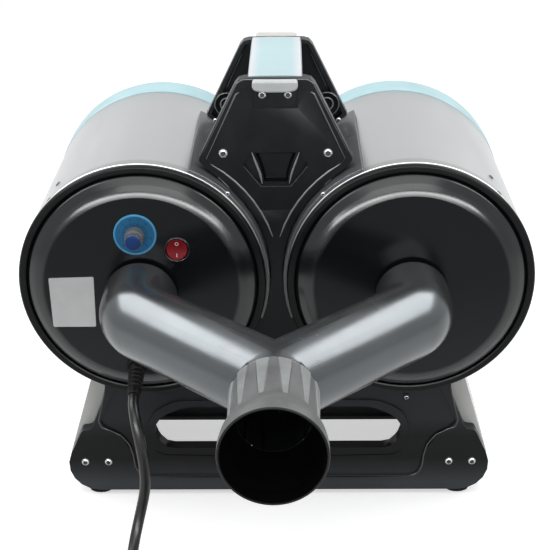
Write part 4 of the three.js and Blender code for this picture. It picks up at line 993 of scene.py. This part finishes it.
def screw_rows():
    """The place, radius, height and way of each screw; those in the drums' seams have a wide socket and are dull."""
    front, rear = (0, -1, 0), (0, 1, 0)
    rows = []
    for x, z, radius, sink, all_four in (
            (41.7, 104.0, 3.9, 1.2, True), (149.5, -180.0, 3.5, 0.0, True), (169.8, -180.0, 3.5, 0.0, True),
            (110.5, -116.0, 2.2, 0.0, False), (10.1, 151.4, 3.4, 3.0, True)):
        for side in (-1, 1):
            for face, way in ((PLATE_FRONT + sink, front), (PLATE_REAR - sink, rear)):
                if all_four or side * way[1] < 0:
                    rows.append(((side * x, face, z), radius, 2.2, way))
    for side, edge, seams in ((-1, 46.6, ((7.0, 136.6), (36.0, 134.2))), (1, 134.0, ((7.0, 46.4), (40.0, 48.0)))):
        for y, angle in seams:
            a = math.radians(angle)
            way = Vector((math.cos(a), 0, math.sin(a)))
            rows.append((Vector((side * HALF, y, 0)) + way * RIM, 2.4, 0.8, way, 0.8, "seam_screw"))
        a = math.radians(edge)
        for y, way in ((3.0, front), (163.0, rear)):
            rows.append(((side * HALF + 102.9 * math.cos(a), y, 102.9 * math.sin(a)), 1.9, 1.2, way))
        rows.append(((side * 54.0, PLATE_REAR - PLATE_DEPTH - 1.5, 93.6), 2.3, 1.2, front))
    return rows


for number, row in enumerate(screw_rows(), 1):
    make_screw(f"screw_{number}", *row)


# ---------------------------------------------------------------- plate details
def bead(points, y, way, material, width, rise=0.55):
    """A half-round line moulded on a plate's face: points are (x, z, fillet), way is the side it stands to."""
    line = [Vector(p) for p in fillet(points, 8, closed=False)]
    rings = []
    for i, p in enumerate(line):
        before, after = line[max(i - 1, 0)], line[min(i + 1, len(line) - 1)]
        along = (after - before).normalized()
        across = Vector((-along.y, along.x))
        narrow = 0.35 if i in (0, len(line) - 1) else 1.0
        rings.append([])
        for a, b in arc(0, 0, 1, 180, 0, 6):
            q = p + across * (a * width / 2 * narrow)
            rings[-1].append((q.x, y + way * (b * rise * narrow - 0.12), q.y))
    return skinned("bead", rings, material, 60, around=False)


def make_beads():
    """The raised lines that edge the sunk fields of both plates, and the glossy lips of the funnel pocket; lines
    lighter than the plate are painted highlights, and near-black lines low on the plates are painted shadows.
    """
    round_drum = [(*p, 8) for p in arc(HALF, 0, 111.0, 121, 163, 7)]
    both = [
        ([(27.9, 154.2), (30.6, 152.6, 1.5), (55.3, 99.6)], 0.0, "bead_soft", 1.6),
        (round_drum, 0.0, "bead_gloss", 1.6),
        ([(0, 164.3), (28.4, 164.3, 9), (60.6, 98.7)], 0.1, "bead_soft", 1.2),
        ([(25.6, 93.4), (12.1, 76.3)], 0.0, "bead_soft", 1.1),
        ([(12.1, 76.3), (0, 76.3)], 0.0, "bead_dark", 0.8),
        ([(148.3, -106.6), (149.6, -113.5, 6), (156.0, -139.1, 4), (153.8, -146.0, 3), (146.1, -148.8, 8),
          (137.0, -154.0, 14), (130.2, -163.3, 14), (127.3, -174.2, 20), (126.4, -185.1, 16), (122.9, -193.1, 8),
          (113.8, -196.1)], 0.1, "bead_dark", 1.3),
        ([(113.8, -196.1), (60, -196.2), (0, -196.2)], 0.1, "bead_shade", 1.3),
        ([(108.2, -170.5), (99.6, -174.6, 8), (55.7, -175.7), (0, -175.7)], 1.9, "bead_shade", 1.0),
    ]
    wall = [(18.9, 104.6), (16.2, 97.0, 20), (12.6, 87.0, 20), (10.9, 78.4)]
    lips = [([(-45.9, 84.1), (-37.6, 75.4)], 0.0, 1.5), ([(44.0, 81.8), (39.2, 77.6)], 0.0, 1.3),
            (flipped(wall), 1.0, 1.9), (wall, 1.0, 1.6)]
    for face, way, side in ((PLATE_FRONT, -1, "front"), (PLATE_REAR, 1, "rear")):
        pieces = [bead(line, face - way * sink, way, material, width)
                  for points, sink, material, width in both for line in (points, flipped(points))]
        pieces += [bead(line, face - way * sink, way, "bead_gloss", width, 0.8) for line, sink, width in lips]
        seat(joined(f"{side}_plate_beads", pieces), "machine", "plate_black")


def make_inner_bosses():
    """Sunk-faced round bosses on the inner face of each plate, and the lips of its rim at the shoulders; the rings
    and lips are coloured lighter than the plate as painted highlights.
    """
    x, z, high, deep = 43.6, 108.4, 3.2, 0.8
    lip = [(*p, 1) for p in arc(x, z, 10.5, -180, 180, 36)]
    inner_ring = [(*p, 1) for p in arc(x, z + 0.2, 5.6, -180, 180, 30)]
    for face, way, side in ((PLATE_REAR - PLATE_DEPTH, -1, "rear"), (PLATE_FRONT + PLATE_DEPTH, 1, "front")):
        root, top = face - way * 1.0, face + way * high
        floor = top - way * deep
        profile = [(0, root), (11.4, root), (11.4, top, 0.9), (9.6, top, 0.3), (9.6, floor, 0.3), (0, floor)]
        pieces = []
        for sign in (-1, 1):
            pieces.append(lathe("boss", profile, "plate_black", (sign * x, 0, z), 72, 3))
            for line, y, material, width, rise in (
                    (lip, top, "bead_soft", 0.9, 0.4), (inner_ring, floor, "bead_gloss", 1.2, 0.7),
                    ([(60.8, 103.0), (61.8, 97.6, 3), (57.0, 91.4)], face, "bead_gloss", 1.4, 0.7),
                    ([(29.7, 152.8), (43.4, 123.4)], face, "bead_dark", 1.6, 0.5)):
                pieces.append(bead(line if sign > 0 else flipped(line), y, way, material, width, rise))
        seat(joined(f"{side}_inner_bosses", pieces), "machine", "plate_black")


def make_handle_caps():
    """A rounded light cap over each end of the handle, with a softly bowed lower edge."""
    for side, y0, y1, top, material in (
            ("front", 6.8, PLATE_FRONT - 0.3, 165.0, "cap_grey"),
            ("rear", PLATE_REAR + 0.3, PLATE_REAR + 12.5, 165.9, "cap_warm_grey")):
        outline = fillet(symmetric([(17.6, top, 2.2), (17.9, 157.4, 5.0), (9.0, 155.9, 20.0)]))
        cap = prism(f"{side}_handle_cap", outline, y0, y1, material)
        softened(cap, 1.3, 3, 40)
        seat(cap, "machine", "cap_grey", f"handle_{side}_cap")


def make_inlay():
    """The pale pad along the top of the handle: a soft crown whose sides lap over the grip's edges and are made
    paler by a painted sheen.
    """
    reach = [v.co.y / MM - ORIGIN.y for v in frame["nodes"]["handle_inlay"].data.vertices]
    outline = fillet(symmetric([(8.0, HANDLE_TOP + 0.8, 30.0), (20.6, HANDLE_TOP + 0.45, 1.4),
                                (21.6, HANDLE_TOP - 2.4, 0.5)]), 8)
    pad = prism("handle_pad", outline, min(reach), max(reach), "inlay_pad_cyan")
    seat(pad, "machine", "inlay_cyan", "handle_inlay")


def make_cover_flanges():
    """The turned-in front edge of each side cover, between the plate and the cover's outer line: pale, and made
    lighter towards the outer sides by painted light.
    """
    front, bow, thick, steps = 27.06, 0.1, 0.14, 8
    shape = ((-95.0, 150.5, 158.9), (-99.0, 146.0, 160.1), (-103.0, 142.0, 161.3), (-108.0, 143.0, 162.8),
             (-114.0, 144.0, 164.6), (-126.0, 147.0, 168.2), (-140.0, 152.0, 172.4), (-149.0, 156.0, 175.1),
             (-158.0, 158.0, 177.8), (-166.0, 160.0, 180.2))
    shares = [i / steps for i in range(steps + 1)]
    for sign, side in ((-1, "left"), (1, "right")):
        rings = []
        for z, x0, x1 in shape:
            row = [(sign * (x0 + (x1 - x0) * t), front + bow * t ** 2, z) for t in shares]
            rings.append([*row, *((x, y + thick, z) for x, y, z in reversed(row))])
        flange = skinned(f"{side}_cover_flange", rings, "panel_silver", 50, caps=True)
        seat(flange, "machine", "cover_silver")


make_beads()
make_inner_bosses()
make_handle_caps()
make_inlay()
make_cover_flanges()


# ---------------------------------------------------------------- carried-over nodes
SOFT = {"front_plate": 0.7, "rear_plate": 0.7, "drum_saddle": 0.5, "left_side_cover": 0.6,
        "right_side_cover": 0.6, "handle_grip": 0.6}


def dress_nodes():
    slots = {part["node"]: part["material_slot"] for part in frame["record"]["subparts"]}
    for name, node in frame["nodes"].items():
        node.data.materials.clear()
        # The rear plate takes its own copy of the plate's black, with painted light that makes it lighter towards
        # the top.
        node.data.materials.append(MAT["rear_plate_black" if name == "rear_plate" else slots[name]])
        for polygon in node.data.polygons:
            polygon.material_index = 0
        if node.hide_render:
            continue
        if name in SOFT:
            softened(node, SOFT[name])
        else:
            smoothed(node, 35)


dress_nodes()


# ---------------------------------------------------------------- stage
FLOOR_REACH, FLOOR_DROP = 6, 0.0004  # in m
FLOOR_GLOW, WORLD_MATT = 0.56, 0.45  # strengths of the floor's own light and of the world's matt light


def make_floor():
    """White ground that the camera and glossy surfaces see brighter than it lights the machine."""
    r = FLOOR_REACH
    mesh = bpy.data.meshes.new("floor")
    mesh.from_pydata([(-r, -r, 0), (r, -r, 0), (r, r, 0), (-r, r, 0)], [], [(0, 1, 2, 3)])
    floor = placed("floor", mesh)
    floor.location.z = -FLOOR_DROP
    m = Nodes(bpy.data.materials.new("floor_white"))
    tone = m.blend(m.noise(3.0), (0.80, 0.80, 0.80), (0.83, 0.83, 0.83))
    mesh.materials.append(m.finished({"Base Color": tone, "Roughness": 0.85, "Specular IOR Level": 0.1}))
    lift = m.add("ShaderNodeMath", {0: m.ray_is("Is Camera Ray", "Is Glossy Ray"), 1: FLOOR_GLOW}, "MULTIPLY")
    glow = m.add("ShaderNodeEmission", {"Strength": lift.outputs[0]})
    total = m.add("ShaderNodeAddShader", {0: m.shader.outputs[0], 1: glow.outputs[0]})
    m.fill(m.tree.nodes["Material Output"], {"Surface": total.outputs[0]})


def make_world():
    """White surroundings, dimmer for matt light than for what the camera and glossy surfaces see."""
    m = Nodes(bpy.data.worlds.new("studio"), "Background")
    seen = m.ray_is("Is Camera Ray", "Is Glossy Ray", "Is Transmission Ray")
    scene.world = m.finished({"Color": (1, 1, 1, 1), "Strength": m.spread(seen, WORLD_MATT, 1.0, 0.0, 1.0)})


def area(name, place, target, width, height, level, matt=True, gloss=True):
    """A soft box with a radiance level, so that its power follows its size."""
    data = bpy.data.lights.new(name, "AREA")
    data.shape = "RECTANGLE"
    data.size, data.size_y = width, height
    data.energy = level * math.pi * width * height
    lamp = placed(name, data)
    lamp.location = place
    lamp.rotation_euler = (Vector(target) - Vector(place)).to_track_quat("-Z", "Y").to_euler()
    lamp.visible_camera = False
    lamp.visible_diffuse = matt
    lamp.visible_glossy = gloss


make_floor()
make_world()
area("overhead", (-0.05, -0.25, 1.5), (0.0, -0.02, 0.25), 1.5, 1.3, 1.9)
area("left_side", (-1.35, 0.15, 0.95), (0.0, 0.0, 0.2), 0.8, 0.8, 2.6, gloss=False)
area("right_side", (1.35, 0.15, 0.95), (0.0, 0.0, 0.2), 0.8, 0.8, 2.2, gloss=False)
area("left_gloss", (-0.95, 0.36, 1.2), (-0.05, -0.1, 0.2), 1.3, 0.85, 6.6, matt=False)
area("right_gloss", (0.95, 0.36, 1.2), (0.05, -0.1, 0.2), 1.3, 0.85, 6.6, matt=False)
area("front_strip", (0.0, -1.35, 0.70), (0.0, 0.0, 0.28), 2.4, 0.33, 20.0, matt=False)
area("front_high", (0.0, -1.05, 1.25), (0.0, 0.0, 0.28), 1.2, 0.5, 4.0, matt=False)
scene.view_settings.view_transform = "Standard"
